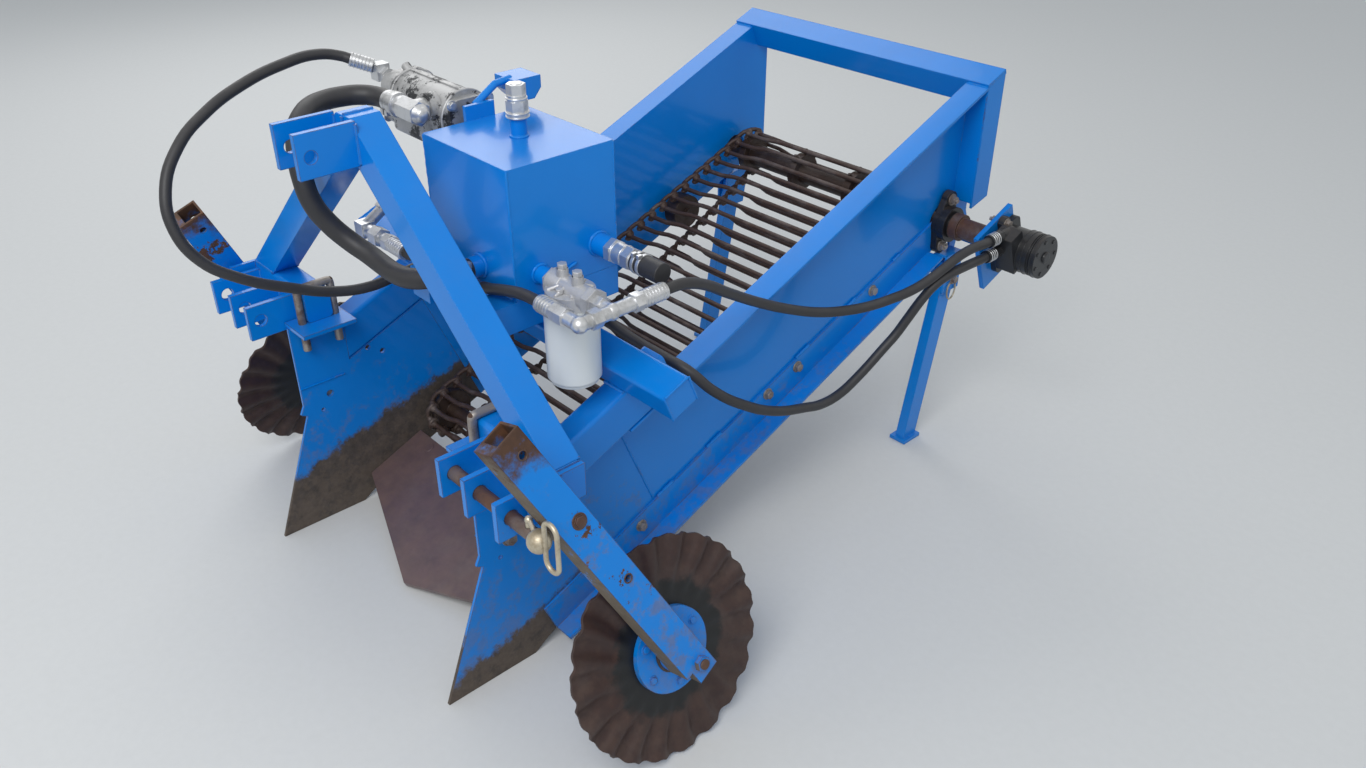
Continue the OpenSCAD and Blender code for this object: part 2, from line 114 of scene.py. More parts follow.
class Graph:
    """Adds and links nodes in one node tree."""

    def __init__(self, tree: bpy.types.NodeTree) -> None:
        """Keeps the tree that the nodes go into."""
        self.tree = tree

    def add(self, kind: str, values: dict | None = None, **props: object) -> bpy.types.Node:
        """Adds a node.

        Args:
            kind: the node's type name without the Shader prefix.
            values: input name or number to a socket, number or colour.
            props: properties set on the node before its inputs.

        Returns:
            The new node.
        """
        node = self.tree.nodes.new(kind if kind.startswith("Node") else "ShaderNode" + kind)
        for key, value in props.items():
            setattr(node, key, value)
        for key, value in (values or {}).items():
            if isinstance(value, bpy.types.NodeSocket):
                self.link(value, node.inputs[key])
            else:
                node.inputs[key].default_value = value
        return node

    def link(self, source: bpy.types.NodeSocket, target: bpy.types.NodeSocket) -> None:
        """Links an output to an input."""
        self.tree.links.new(source, target)

    def math(self, operation: str, a: Value, b: Value = 0.0,
             clamp: bool = False) -> bpy.types.NodeSocket:
        """The result of one Math node."""
        return self.add("Math", {0: a, 1: b}, operation=operation, use_clamp=clamp).outputs[0]

    def noise(self, vector: bpy.types.NodeSocket, scale: float, detail: float = 4.0,
              rough: float = 0.6) -> bpy.types.NodeSocket:
        """The value of a noise texture at a vector."""
        return self.add("TexNoise", {"Vector": vector, "Scale": scale, "Detail": detail,
                                     "Roughness": rough}).outputs[0]

    def span(self, value: Value, low: Value, high: Value, to_low: float = 0.0,
             to_high: float = 1.0) -> bpy.types.NodeSocket:
        """A value between low and high mapped on another range, smoothly and clamped."""
        return self.add("MapRange", {0: value, 1: low, 2: high, 3: to_low, 4: to_high},
                        interpolation_type="SMOOTHSTEP").outputs[0]

    def mix(self, factor: Value, a: bpy.types.NodeSocket | Colour,
            b: bpy.types.NodeSocket | Colour) -> bpy.types.NodeSocket:
        """Colour a turning into colour b by factor."""
        return self.add("Mix", {0: factor, 6: a, 7: b}, data_type="RGBA").outputs[2]

    def blend(self, factor: Value, a: Value, b: float) -> bpy.types.NodeSocket:
        """Number a turning into number b by factor."""
        return self.add("Mix", {0: factor, 2: a, 3: b}, data_type="FLOAT").outputs[0]


def shade(red: float, green: float, blue: float) -> Colour:
    """A linear colour with full alpha."""
    return (red, green, blue, 1.0)


class Effects:
    """The shared effects, each a node group that is built once."""

    def __init__(self) -> None:
        """Builds every group."""
        self.edges = self.build_edges()
        self.flakes = self.build_flakes()
        self.soil = self.build_soil()
        self.rust = self.build_rust()
        self.grain = self.build_grain()

    @staticmethod
    def start(name: str, inputs: dict[str, float], outputs: dict[str, str]) -> tuple:
        """Makes an empty group.

        Args:
            name: the group's name.
            inputs: input names and their defaults.
            outputs: output names and their kinds, Float, Color or Vector.

        Returns:
            The tree, its graph, the group's input sockets and its output node.
        """
        tree = bpy.data.node_groups.new(name, "ShaderNodeTree")
        for key, value in inputs.items():
            item = tree.interface.new_socket(key, in_out="INPUT", socket_type="NodeSocketFloat")
            item.default_value = value
        for key, kind in outputs.items():
            tree.interface.new_socket(key, in_out="OUTPUT", socket_type="NodeSocket" + kind)
        graph = Graph(tree)
        return tree, graph, graph.add("NodeGroupInput").outputs, graph.add("NodeGroupOutput")

    def build_edges(self) -> bpy.types.NodeTree:
        """Bare outer edges, and a normal that rounds them.

        Returns:
            The group.
        """
        tree, g, given, out = self.start("bare edges", {"Width": 0.003, "Amount": 0.5},
                                         {"Mask": "Float", "Normal": "Vector"})
        round_ = g.add("Bevel", {"Radius": given["Width"]}, samples=4).outputs[0]
        flat = g.add("NewGeometry").outputs["Normal"]
        dot = g.add("VectorMath", {0: round_, 1: flat}, operation="DOT_PRODUCT").outputs["Value"]
        bend = g.span(g.math("SUBTRACT", 1.0, dot), 0.02, 0.2)
        place = g.add("TexCoord").outputs["Object"]
        torn = g.math("ADD", g.noise(place, 38.0, 6.0, 0.7), g.noise(place, 7.0, 3.0))
        keep = g.math("SUBTRACT", torn, g.math("SUBTRACT", 1.35, given["Amount"]))
        mask = g.math("MULTIPLY", bend, g.span(keep, 0.0, 0.12))
        g.link(mask, out.inputs["Mask"])
        g.link(round_, out.inputs["Normal"])
        return tree

    def build_flakes(self) -> bpy.types.NodeTree:
        """Chips and scratches away from the edges.

        Returns:
            The group.
        """
        tree, g, given, out = self.start("flakes", {"Scale": 60.0, "Amount": 0.3}, {"Mask": "Float"})
        place = g.add("TexCoord").outputs["Object"]
        fine = g.add("TexNoise", {"Vector": place, "Scale": given["Scale"], "Detail": 6.0,
                                  "Roughness": 0.75}).outputs[0]
        patch = g.span(g.noise(place, 5.0, 4.0), 0.42, 0.68)
        limit = g.math("SUBTRACT", 0.86, g.math("MULTIPLY", given["Amount"], patch))
        over = g.math("SUBTRACT", fine, limit)
        g.link(g.span(over, 0.0, 0.03), out.inputs["Mask"])
        return tree

    def build_soil(self) -> bpy.types.NodeTree:
        """Dust on faces that look up, and soil splashed low on the machine.

        Returns:
            The group.
        """
        tree, g, given, out = self.start("soil", {"Dust": 0.3, "Splash": 0.3, "Height": 0.35},
                                         {"Mask": "Float", "Color": "Color"})
        place = g.add("TexCoord").outputs["Object"]
        up = g.add("SeparateXYZ", {0: g.add("NewGeometry").outputs["Normal"]}).outputs["Z"]
        cloud = g.noise(place, 11.0, 7.0, 0.65)
        dust = g.math("MULTIPLY", g.span(up, 0.2, 1.0), g.span(cloud, 0.35, 0.75))
        high = g.add("SeparateXYZ", {0: place}).outputs["Z"]
        low = g.math("SUBTRACT", 1.0, g.math("DIVIDE", high, given["Height"]), clamp=True)
        spots = g.span(g.math("ADD", g.noise(place, 34.0, 8.0, 0.7), g.math("MULTIPLY", low, 0.28)),
                       0.62, 0.8)
        total = g.math("ADD", g.math("MULTIPLY", dust, given["Dust"]),
                       g.math("MULTIPLY", spots, given["Splash"]), clamp=True)
        tone = g.mix(g.noise(place, 90.0), shade(0.11, 0.075, 0.05), shade(0.26, 0.2, 0.15))
        g.link(total, out.inputs["Mask"])
        g.link(tone, out.inputs["Color"])
        return tree

    def build_rust(self) -> bpy.types.NodeTree:
        """Brown and orange rust with a rough height.

        Returns:
            The group.
        """
        tree, g, given, out = self.start("rust", {"Scale": 45.0, "Orange": 0.4},
                                         {"Color": "Color", "Height": "Float"})
        place = g.add("TexCoord").outputs["Object"]
        cloud = g.add("TexNoise", {"Vector": place, "Scale": given["Scale"], "Detail": 8.0,
                                   "Roughness": 0.7}).outputs[0]
        dark = g.mix(cloud, shade(0.035, 0.022, 0.018), shade(0.12, 0.06, 0.035))
        warm = g.math("MULTIPLY", g.span(g.noise(place, 17.0, 6.0), 0.45, 0.7), given["Orange"])
        g.link(g.mix(warm, dark, shade(0.3, 0.115, 0.04)), out.inputs["Color"])
        g.link(cloud, out.inputs["Height"])
        return tree

    def build_grain(self) -> bpy.types.NodeTree:
        """A fine casting or brush grain.

        Returns:
            The group.
        """
        tree, g, given, out = self.start("grain", {"Scale": 300.0}, {"Height": "Float"})
        place = g.add("TexCoord").outputs["Object"]
        fine = g.add("TexNoise", {"Vector": place, "Scale": given["Scale"], "Detail": 3.0,
                                  "Roughness": 0.6}).outputs[0]
        g.link(fine, out.inputs["Height"])
        return tree


@dataclass(frozen=True)
class Finish:
    """What every finish shares: a name and how its material is begun."""

    name: str

    def begin(self) -> tuple[bpy.types.Material, Graph, bpy.types.Node]:
        """Makes the material with an empty Principled shader.

        Returns:
            The material, its graph and its shader.
        """
        made = bpy.data.materials.new(self.name)
        made.use_nodes = True
        made.node_tree.nodes.clear()
        graph = Graph(made.node_tree)
        shader = graph.add("BsdfPrincipled")
        graph.add("OutputMaterial", {"Surface": shader.outputs[0]})
        return made, graph, shader

    @staticmethod
    def group(graph: Graph, tree: bpy.types.NodeTree,
              **values: float) -> bpy.types.NodeOutputs:
        """Places a shared effect with its own values, and returns its outputs."""
        return graph.add("Group", {k.capitalize(): v for k, v in values.items()},
                         node_tree=tree).outputs

    @staticmethod
    def join(graph: Graph, shader: bpy.types.Node, **sockets: bpy.types.NodeSocket) -> None:
        """Links sockets to the shader's inputs; an underscore stands for a space."""
        for key, value in sockets.items():
            graph.link(value, shader.inputs[key.replace("_", " ")])


@dataclass(frozen=True)
class Enamel(Finish):
    """Glossy machine enamel with bare edges, chips, dust and soil."""

    colour: Colour = (0.004, 0.155, 0.6, 1.0)
    gloss: float = 0.24
    edge: float = 0.5
    chips: float = 0.3
    dust: float = 0.25
    splash: float = 0.25
    height: float = 0.35
    bare: float = 0.0
    front: float = 0.0
    crown: float = 0.0

    def build(self, effects: Effects) -> bpy.types.Material:
        """Makes the material.

        Args:
            effects: the shared effects.

        Returns:
            The material.
        """
        made, g, shader = self.begin()
        place = g.add("TexCoord").outputs["Object"]
        edges = self.group(g, effects.edges, width=0.0025, amount=self.edge)
        flakes = self.group(g, effects.flakes, scale=70.0, amount=self.chips)
        rust = self.group(g, effects.rust, scale=70.0, orange=0.5)
        soil = self.group(g, effects.soil, dust=self.dust, splash=self.splash, height=self.height)
        red, green, blue, _ = self.colour
        tone = g.mix(g.noise(place, 3.0, 5.0), shade(red * 0.8, green * 0.84, blue * 0.86),
                     shade(red * 1.2, green * 1.16, blue * 1.14))
        worn = g.math("MAXIMUM", edges["Mask"], flakes["Mask"])
        axes = g.add("SeparateXYZ", {0: place}).outputs
        if self.crown > 0:
            torn = g.math("ADD", axes["Z"], g.math("MULTIPLY", g.noise(place, 26.0, 9.0, 0.7), 0.16))
            worn = g.math("MAXIMUM", worn, g.span(torn, self.crown + 0.05, self.crown + 0.1))
        if self.front > 0:
            facing = g.add("SeparateXYZ", {0: g.add("NewGeometry").outputs["Normal"]}).outputs["Y"]
            fore = g.span(facing, -0.35, -0.75)
            torn = g.span(g.noise(place, 9.0, 9.0, 0.75), 0.62 - self.front, 0.7 - self.front)
            mud = g.math("MULTIPLY", fore, torn)
            tone = g.mix(mud, tone, g.mix(g.noise(place, 60.0, 8.0, 0.8), shade(0.05, 0.045, 0.042),
                                          shade(0.24, 0.2, 0.15)))
        colour = g.mix(worn, tone, rust["Color"])
        if self.front > 0:
            worn = g.math("MAXIMUM", worn, mud)
        if self.bare > 0:
            lean = g.math("SUBTRACT", axes["Z"], g.math("MULTIPLY", axes["Y"], 0.3))
            facing = g.add("SeparateXYZ", {0: g.add("NewGeometry").outputs["Normal"]}).outputs["X"]
            outer = g.span(g.math("MULTIPLY", facing, axes["X"]), 0.05, 0.2)
            lean = g.math("ADD", lean, g.math("MULTIPLY", outer, 0.07))
            torn = g.math("ADD", lean, g.math("MULTIPLY", g.noise(place, 16.0, 9.0, 0.8), 0.11))
            low = g.span(torn, self.bare + 0.066, self.bare + 0.046)
            earth = g.mix(g.noise(place, 75.0, 8.0, 0.8), shade(0.012, 0.011, 0.011),
                          shade(0.14, 0.115, 0.1))
            colour = g.mix(low, colour, earth)
            worn = g.math("MAXIMUM", worn, low)
        colour = g.mix(soil["Mask"], colour, soil["Color"])
        dull = g.math("MAXIMUM", worn, soil["Mask"])
        lift = g.math("SUBTRACT", g.math("MULTIPLY", g.noise(place, 25.0, 2.0), 0.25), worn)
        bump = g.add("Bump", {"Strength": 0.35, "Distance": 0.0006, "Height": lift,
                              "Normal": edges["Normal"]})
        shader.inputs["Coat Roughness"].default_value = 0.06
        shader.inputs["Specular IOR Level"].default_value = 0.3
        self.join(g, shader, Base_Color=colour, Roughness=g.blend(dull, self.gloss, 0.75),
                  Normal=bump.outputs[0], Coat_Weight=g.blend(dull, 0.2, 0.0))
        return made


@dataclass(frozen=True)
class Rusty(Finish):
    """Rusty or soil-worn steel, with rubbed bright places."""

    scale: float = 60.0
    orange: float = 0.35
    rubbed: float = 0.3
    tint: Colour = (1.0, 1.0, 1.0, 1.0)
    soil: float = 0.25
    gloss: float = 0.72
    oily: bool = False

    def build(self, effects: Effects) -> bpy.types.Material:
        """Makes the material.

        Args:
            effects: the shared effects.

        Returns:
            The material.
        """
        made, g, shader = self.begin()
        place = g.add("TexCoord").outputs["Object"]
        edges = self.group(g, effects.edges, width=0.0015, amount=0.9)
        rust = self.group(g, effects.rust, scale=self.scale, orange=self.orange)
        soil = self.group(g, effects.soil, dust=self.soil, splash=self.soil, height=0.5)
        polish = g.math("MULTIPLY", g.span(g.noise(place, 14.0, 5.0), 0.5, 0.68), self.rubbed)
        bright = g.math("MAXIMUM", polish, g.math("MULTIPLY", edges["Mask"], self.rubbed))
        tinted = g.add("Mix", {0: 1.0, 6: rust["Color"], 7: self.tint}, data_type="RGBA",
                       blend_type="MULTIPLY").outputs[2]
        colour = g.mix(bright, tinted, shade(0.3, 0.26, 0.24))
        colour = g.mix(soil["Mask"], colour, soil["Color"])
        rough = g.blend(bright, self.gloss, 0.38)
        if self.oily:
            axes = g.add("SeparateXYZ", {0: place}).outputs
            near = g.add("CombineXYZ", {0: g.math("ABSOLUTE", axes["X"]), 1: axes["Y"],
                                        2: axes["Z"]}).outputs[0]
            far = g.add("VectorMath", {0: near, 1: (0.553, -0.4369, 0.174)},
                        operation="DISTANCE").outputs["Value"]
            torn = g.math("ADD", far, g.math("MULTIPLY", g.noise(place, 26.0, 8.0, 0.7), 0.08))
            oil = g.span(torn, 0.155, 0.135)
            colour = g.mix(oil, colour, shade(0.007, 0.008, 0.009))
            rough = g.add("Mix", {0: oil, 2: rough, 3: 0.42}, data_type="FLOAT").outputs[0]
        bump = g.add("Bump", {"Strength": 0.5, "Distance": 0.0007, "Height": rust["Height"],
                              "Normal": edges["Normal"]})
        self.join(g, shader, Base_Color=colour, Metallic=g.blend(bright, 0.15, 0.85),
                  Roughness=rough, Normal=bump.outputs[0])
        return made


@dataclass(frozen=True)
class Plated(Finish):
    """Zinc plating or bare castings: pale metal with dull stains."""

    colour: Colour = (0.55, 0.56, 0.58, 1.0)
    stain: Colour = (0.26, 0.26, 0.25, 1.0)
    metal: float = 0.85
    gloss: float = 0.3
    grain: float = 250.0
    depth: float = 0.0002
    flaking: float = 0.0

    def build(self, effects: Effects) -> bpy.types.Material:
        """Makes the material.

        Args:
            effects: the shared effects.

        Returns:
            The material.
        """
        made, g, shader = self.begin()
        place = g.add("TexCoord").outputs["Object"]
        edges = self.group(g, effects.edges, width=0.0012, amount=0.8)
        grain = self.group(g, effects.grain, scale=self.grain)
        cloud = g.span(g.noise(place, 22.0, 6.0, 0.7), 0.42, 0.75)
        colour = g.mix(cloud, self.colour, self.stain)
        rough = g.blend(cloud, self.gloss, self.gloss + 0.2)
        metal = g.blend(cloud, self.metal, self.metal * 0.7)
        if self.flaking > 0:
            left = g.span(g.noise(place, 16.0, 9.0, 0.8), 1.0 - self.flaking, 1.03 - self.flaking)
            colour = g.mix(left, colour, shade(0.02, 0.021, 0.024))
            metal = g.blend(left, self.metal, 0.0)
        bump = g.add("Bump", {"Strength": 0.4, "Distance": self.depth, "Height": grain["Height"],
                              "Normal": edges["Normal"]})
        self.join(g, shader, Base_Color=colour, Metallic=metal, Roughness=rough,
                  Normal=bump.outputs[0])
        return made


@dataclass(frozen=True)
class Rubber(Finish):
    """Matte black hose rubber with a wrapped cloth mark and grey dust."""

    colour: Colour = (0.022, 0.022, 0.025, 1.0)

    def build(self, effects: Effects) -> bpy.types.Material:
        """Makes the material.

        Args:
            effects: the shared effects.

        Returns:
            The material.
        """
        made, g, shader = self.begin()
        place = g.add("TexCoord").outputs["Object"]
        grain = self.group(g, effects.grain, scale=420.0)
        soil = self.group(g, effects.soil, dust=0.55, splash=0.1, height=0.3)
        pale = g.math("MULTIPLY", soil["Mask"], 0.3)
        colour = g.mix(pale, self.colour, shade(0.2, 0.19, 0.18))
        colour = g.mix(g.math("MULTIPLY", g.noise(place, 40.0), 0.12), colour,
                       shade(0.09, 0.085, 0.085))
        bump = g.add("Bump", {"Strength": 0.3, "Distance": 0.0003, "Height": grain["Height"]})
        shader.inputs["Roughness"].default_value = 0.5
        self.join(g, shader, Base_Color=colour, Normal=bump.outputs[0])
        return made


@dataclass(frozen=True)
class FloorPaint(Finish):
    """The plain pale floor."""

    colour: Colour = (0.62, 0.62, 0.61, 1.0)

    def build(self, effects: Effects) -> bpy.types.Material:
        """Makes the material.

        Args:
            effects: the shared effects.

        Returns:
            The material.
        """
        made, g, shader = self.begin()
        grain = self.group(g, effects.grain, scale=60.0)
        tone = g.mix(grain["Height"], self.colour, shade(0.66, 0.66, 0.65))
        shader.inputs["Roughness"].default_value = 0.8
        self.join(g, shader, Base_Color=tone)
        return made


class Paintbox:
    """Every finish of the machine by a plain name, made once."""

    def __init__(self) -> None:
        """Builds the effects and the materials."""
        self.effects = Effects()
        blue = (0.0, 0.205, 0.67, 1.0)
        finishes = [
            Enamel("blue_enamel", blue, edge=0.25, chips=0.1, dust=0.07, splash=0.05),
            Enamel("blue_plate", blue, gloss=0.3, edge=0.45, chips=0.16, dust=0.1, splash=0.3,
                   height=0.5),
            Enamel("blue_digging_plate", blue, gloss=0.34, edge=0.8, chips=0.18, dust=0.15,
                   splash=0.3, height=0.4, bare=0.304),
            Enamel("blue_arm", blue, gloss=0.4, edge=0.95, chips=0.5, dust=0.3, splash=0.5,
                   height=0.7, front=0.24, crown=0.59),
            Enamel("blue_hitch", blue, gloss=0.28, edge=0.6, chips=0.24, dust=0.12, splash=0.05),
            Enamel("clamp_paint", blue, gloss=0.28, edge=0.6, chips=0.24, dust=0.12, splash=0.05,
                   crown=0.475),
            Enamel("black_enamel", (0.014, 0.014, 0.016, 1.0), gloss=0.34, edge=0.3, chips=0.12,
                   dust=0.25),
            Enamel("black_clean", (0.02, 0.021, 0.024, 1.0), gloss=0.34, edge=0.05, chips=0.02,
                   dust=0.2),
            Enamel("white_enamel", (0.74, 0.77, 0.76, 1.0), gloss=0.28, edge=0.05, chips=0.02,
                   dust=0.1, splash=0.05),
            Rusty("worn_share", scale=24.0, orange=0.05, rubbed=0.12, tint=(1.7, 2.1, 3.5, 1.0),
                  soil=0.12, gloss=0.34),
            Rusty("chain_rust", scale=110.0, orange=0.08, rubbed=0.26, tint=(0.62, 0.62, 0.7, 1.0),
                  soil=0.06, gloss=0.55),
            Rusty("disc_rust", scale=60.0, orange=0.06, rubbed=0.06, tint=(0.5, 0.46, 0.6, 1.0),
                  soil=0.07, gloss=0.5, oily=True),
            Rusty("oily_steel", scale=90.0, orange=0.08, rubbed=0.15, tint=(0.45, 0.45, 0.5, 1.0),
                  soil=0.1, gloss=0.5),
            Rusty("pin_rust", scale=160.0, orange=0.16, rubbed=0.4, tint=(1.0, 0.95, 1.0, 1.0),
                  soil=0.1, gloss=0.5),
            Plated("dirty_zinc", colour=(0.34, 0.31, 0.28, 1.0), stain=(0.11, 0.06, 0.045, 1.0),
                   metal=0.6, gloss=0.42),
            Plated("zinc_plate", colour=(0.68, 0.69, 0.71, 1.0), stain=(0.36, 0.36, 0.35, 1.0)),
            Plated("cream_zinc", colour=(0.6, 0.54, 0.42, 1.0), stain=(0.3, 0.24, 0.16, 1.0),
                   gloss=0.4),
            Plated("cast_aluminium", colour=(0.6, 0.6, 0.61, 1.0), stain=(0.42, 0.42, 0.42, 1.0),
                   metal=0.7, gloss=0.45, grain=420.0, depth=0.0006),
            Plated("pump_casting", colour=(0.48, 0.48, 0.48, 1.0), stain=(0.3, 0.3, 0.3, 1.0),
                   metal=0.6, gloss=0.5, grain=350.0, depth=0.0006, flaking=0.47),
            Rubber("hose_rubber"),
        ]
        self.made = {finish.name: finish.build(self.effects) for finish in finishes}
        self.floor = FloorPaint("pale_floor").build(self.effects)

    def get(self, name: str) -> bpy.types.Material:
        """The material of that name."""
        return self.made[name]


SLOT_FINISH = {
    "blue_paint": "blue_enamel", "worn_steel": "worn_share", "chain_steel": "chain_rust",
    "disc_steel": "disc_rust", "roller_steel": "oily_steel", "pin_steel": "pin_rust",
    "zinc": "zinc_plate", "ivory_zinc": "cream_zinc", "black_cast": "black_enamel",
    "black_paint": "black_enamel", "cast_aluminium": "cast_aluminium",
    "white_paint": "white_enamel", "hose_rubber": "hose_rubber",
}
NODE_FINISH = {
    "front_plate_left": "blue_digging_plate", "front_plate_right": "blue_digging_plate",
    "coulter_arm_left": "blue_arm", "coulter_arm_right": "blue_arm",
    "coulter_hub_left": "blue_plate", "coulter_hub_right": "blue_plate",
    "rail_left": "blue_plate", "rail_right": "blue_plate",
    "hitch_ears_left": "blue_hitch", "hitch_ears_right": "blue_hitch",
    "hitch_stub_left": "blue_hitch", "hitch_stub_right": "blue_hitch",
    "top_link_clevis": "blue_hitch", "clamp_left": "clamp_paint", "clamp_right": "clamp_paint",
    "motor": "black_clean", "pump": "pump_casting",
}


# Shapes


class Workpiece:
    """One new piece, built in millimetres with bmesh operators and then set in the row frame."""

    def __init__(self, name: str) -> None:
        """Starts an empty mesh."""
        self.name = name
        self.bm = bmesh.new()

    @staticmethod
    def along(start: Vector, end: Vector) -> Matrix:
        """The matrix that puts local Z from start to end, with its origin halfway."""
        turn = (end - start).to_track_quat("Z", "Y").to_matrix().to_4x4()
        return Matrix.Translation((start + end) / 2) @ turn

    def rod(self, start: Vector, end: Vector, radius: float, sides: int = 20,
            top: float | None = None) -> None:
        """A round or sided bar from start to end, or a cone where top is given.

        Args:
            start: one end.
            end: the other end.
            radius: its radius.
            sides: the faces round it.
            top: the radius at the end, or None for a plain bar.
        """
        bmesh.ops.create_cone(self.bm, cap_ends=True, segments=sides, radius1=radius,
                              radius2=radius if top is None else top, depth=(end - start).length,
                              matrix=self.along(start, end))

    def block(self, centre: Vector, size: Point, turn: Matrix | None = None) -> None:
        """A box of that size round its centre.

        Args:
            centre: its middle.
            size: its length on each axis.
            turn: how it is turned, or None.
        """
        scale = Matrix.Diagonal((*size, 1.0))
        bmesh.ops.create_cube(self.bm, size=1.0,
                              matrix=Matrix.Translation(centre) @ (turn or Matrix()) @ scale)

    def dome(self, centre: Vector, axis: Vector, radius: float, height: float) -> None:
        """A flattened ball, half of it standing out along the axis.

        Args:
            centre: its middle.
            axis: the way it faces.
            radius: its radius.
            height: how far it stands out.
        """
        turn = axis.to_track_quat("Z", "Y").to_matrix().to_4x4()
        scale = Matrix.Diagonal((1.0, 1.0, height / radius, 1.0))
        bmesh.ops.create_uvsphere(self.bm, u_segments=16, v_segments=8, radius=radius,
                                  matrix=Matrix.Translation(centre) @ turn @ scale)

    def ring(self, centre: Vector, axis: Vector, radius: float, wire: float,
             steps: int = 24, sides: int = 8) -> None:
        """A closed ring of round wire.

        Args:
            centre: its middle.
            axis: the way it faces.
            radius: its radius.
            wire: the wire's radius.
            steps: the pieces round the ring.
            sides: the faces round it.
        """
        turn = axis.to_track_quat("Z", "Y").to_matrix().to_4x4()
        place = Matrix.Translation(centre) @ turn
        local = Matrix.Translation((radius, 0, 0)) @ Matrix.Rotation(math.pi / 2, 4, "X")
        made = bmesh.ops.create_circle(self.bm, segments=sides, radius=wire, matrix=place @ local)
        edges = list({e for v in made["verts"] for e in v.link_edges})
        bmesh.ops.spin(self.bm, geom=made["verts"] + edges, cent=centre,
                       axis=place.to_3x3() @ Vector((0, 0, 1)), angle=2 * math.pi, steps=steps,
                       use_merge=True)

    def sweep(self, path: list[Vector], radius: float, sides: int = 8,
              radii: list[float] | None = None) -> None:
        """A round bar bent along a path.

        Args:
            path: the points of its centre line.
            radius: the bar's radius.
            sides: faces round the bar.
            radii: a radius for each point, where the bar's thickness changes.
        """
        frames = self.frames(path)
        wide = radii or [radius] * len(path)
        made = bmesh.ops.create_circle(self.bm, segments=sides, radius=wide[0], matrix=frames[0])
        ring = set(made["verts"])
        edges = list({e for v in ring for e in v.link_edges})
        first = list(edges)
        for i in range(1, len(path)):
            grown = bmesh.ops.extrude_edge_only(self.bm, edges=edges)["geom"]
            verts = [v for v in grown if isinstance(v, bmesh.types.BMVert)]
            fresh = set(verts)
            edges = [e for e in grown if isinstance(e, bmesh.types.BMEdge)
                     and e.verts[0] in fresh and e.verts[1] in fresh]
            step = frames[i] @ Matrix.Scale(wide[i] / wide[i - 1], 4) @ frames[i - 1].inverted()
            bmesh.ops.transform(self.bm, matrix=step, verts=verts)
        bmesh.ops.edgeloop_fill(self.bm, edges=first)
        bmesh.ops.edgeloop_fill(self.bm, edges=edges)

    @staticmethod
    def frames(path: list[Vector]) -> list[Matrix]:
        """A frame at each point of a path, Z along it, turning as little as it can.

        Args:
            path: the points of its centre line.

        Returns:
            The frames, one for each point.
        """
        made = []
        turn = None
        for i, point in enumerate(path):
            ahead = (path[min(i + 1, len(path) - 1)] - path[max(i - 1, 0)]).normalized()
            if turn is None:
                turn = ahead.to_track_quat("Z", "Y")
            else:
                last = turn @ Vector((0, 0, 1))
                turn = last.rotation_difference(ahead) @ turn
            made.append(Matrix.Translation(point) @ turn.to_matrix().to_4x4())
        return made

    def bolt(self, foot: Vector, axis: Vector, across: float = 8.0, head: float = 6.5,
             washer: float = 2.0, stud: float = 0.0) -> None:
        """A hexagon head on a washer, with an end of thread if stud is given.

        Args:
            foot: where it sits.
            axis: the way it faces.
            across: the head's radius over its corners.
            head: the head's height.
            washer: the washer's thickness.
            stud: how far the thread stands out, 0 for none.
        """
        axis = axis.normalized()
        self.rod(foot - axis, foot + axis * washer, across * 1.35, 24)
        self.rod(foot + axis * washer, foot + axis * (washer + head), across, 6)
        if stud > 0:
            end = washer + head
            self.rod(foot + axis * end, foot + axis * (end + stud), across * 0.5, 14)

    def bead(self, start: Vector, end: Vector, radius: float = 3.0) -> None:
        """A weld bead with its ripples, from start to end.

        Args:
            start: one end.
            end: the other end.
            radius: its radius.
        """
        steps = max(4, int((end - start).length / 5.0))
        path = [start.lerp(end, i / steps) for i in range(steps + 1)]
        radii = [radius * (1.0 + 0.14 * math.sin(i * 2.1) + 0.08 * math.sin(i * 0.7))
                 for i in range(steps + 1)]
        self.sweep(path, radius, 7, radii)

    def finish(self, body: str, slot: str, material: bpy.types.Material,
               smooth: float = 40.0, bevel: float = 0.0) -> bpy.types.Object:
        """Turns the workpiece into a piece of the machine.

        Args:
            body: the CAD body that it rides on.
            slot: the record's material slot; not used.
            material: its material.
            smooth: the angle in degrees over which an edge stays sharp.
            bevel: the width of its rounded edges, 0 for none.

        Returns:
            The new object.
        """
        bmesh.ops.recalc_face_normals(self.bm, faces=self.bm.faces)
        bmesh.ops.transform(self.bm, matrix=TO_ROW, verts=self.bm.verts)
        mesh = bpy.data.meshes.new(self.name)
        self.bm.to_mesh(mesh)
        self.bm.free()
        mesh.shade_smooth()
        mesh.set_sharp_from_angle(angle=math.radians(smooth))
        mesh.materials.append(material)
        made = bpy.data.objects.new(self.name, mesh)
        bpy.context.scene.collection.objects.link(made)
        if bevel > 0:
            round_ = made.modifiers.new("rounded edges", "BEVEL")
            round_.width = bevel * MM
            round_.segments = 2
            round_.limit_method = "ANGLE"
            round_.angle_limit = math.radians(35)
        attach(made, body)
        LOG.info("%s: %d faces", self.name, len(mesh.polygons))
        return made


# Sub-assemblies


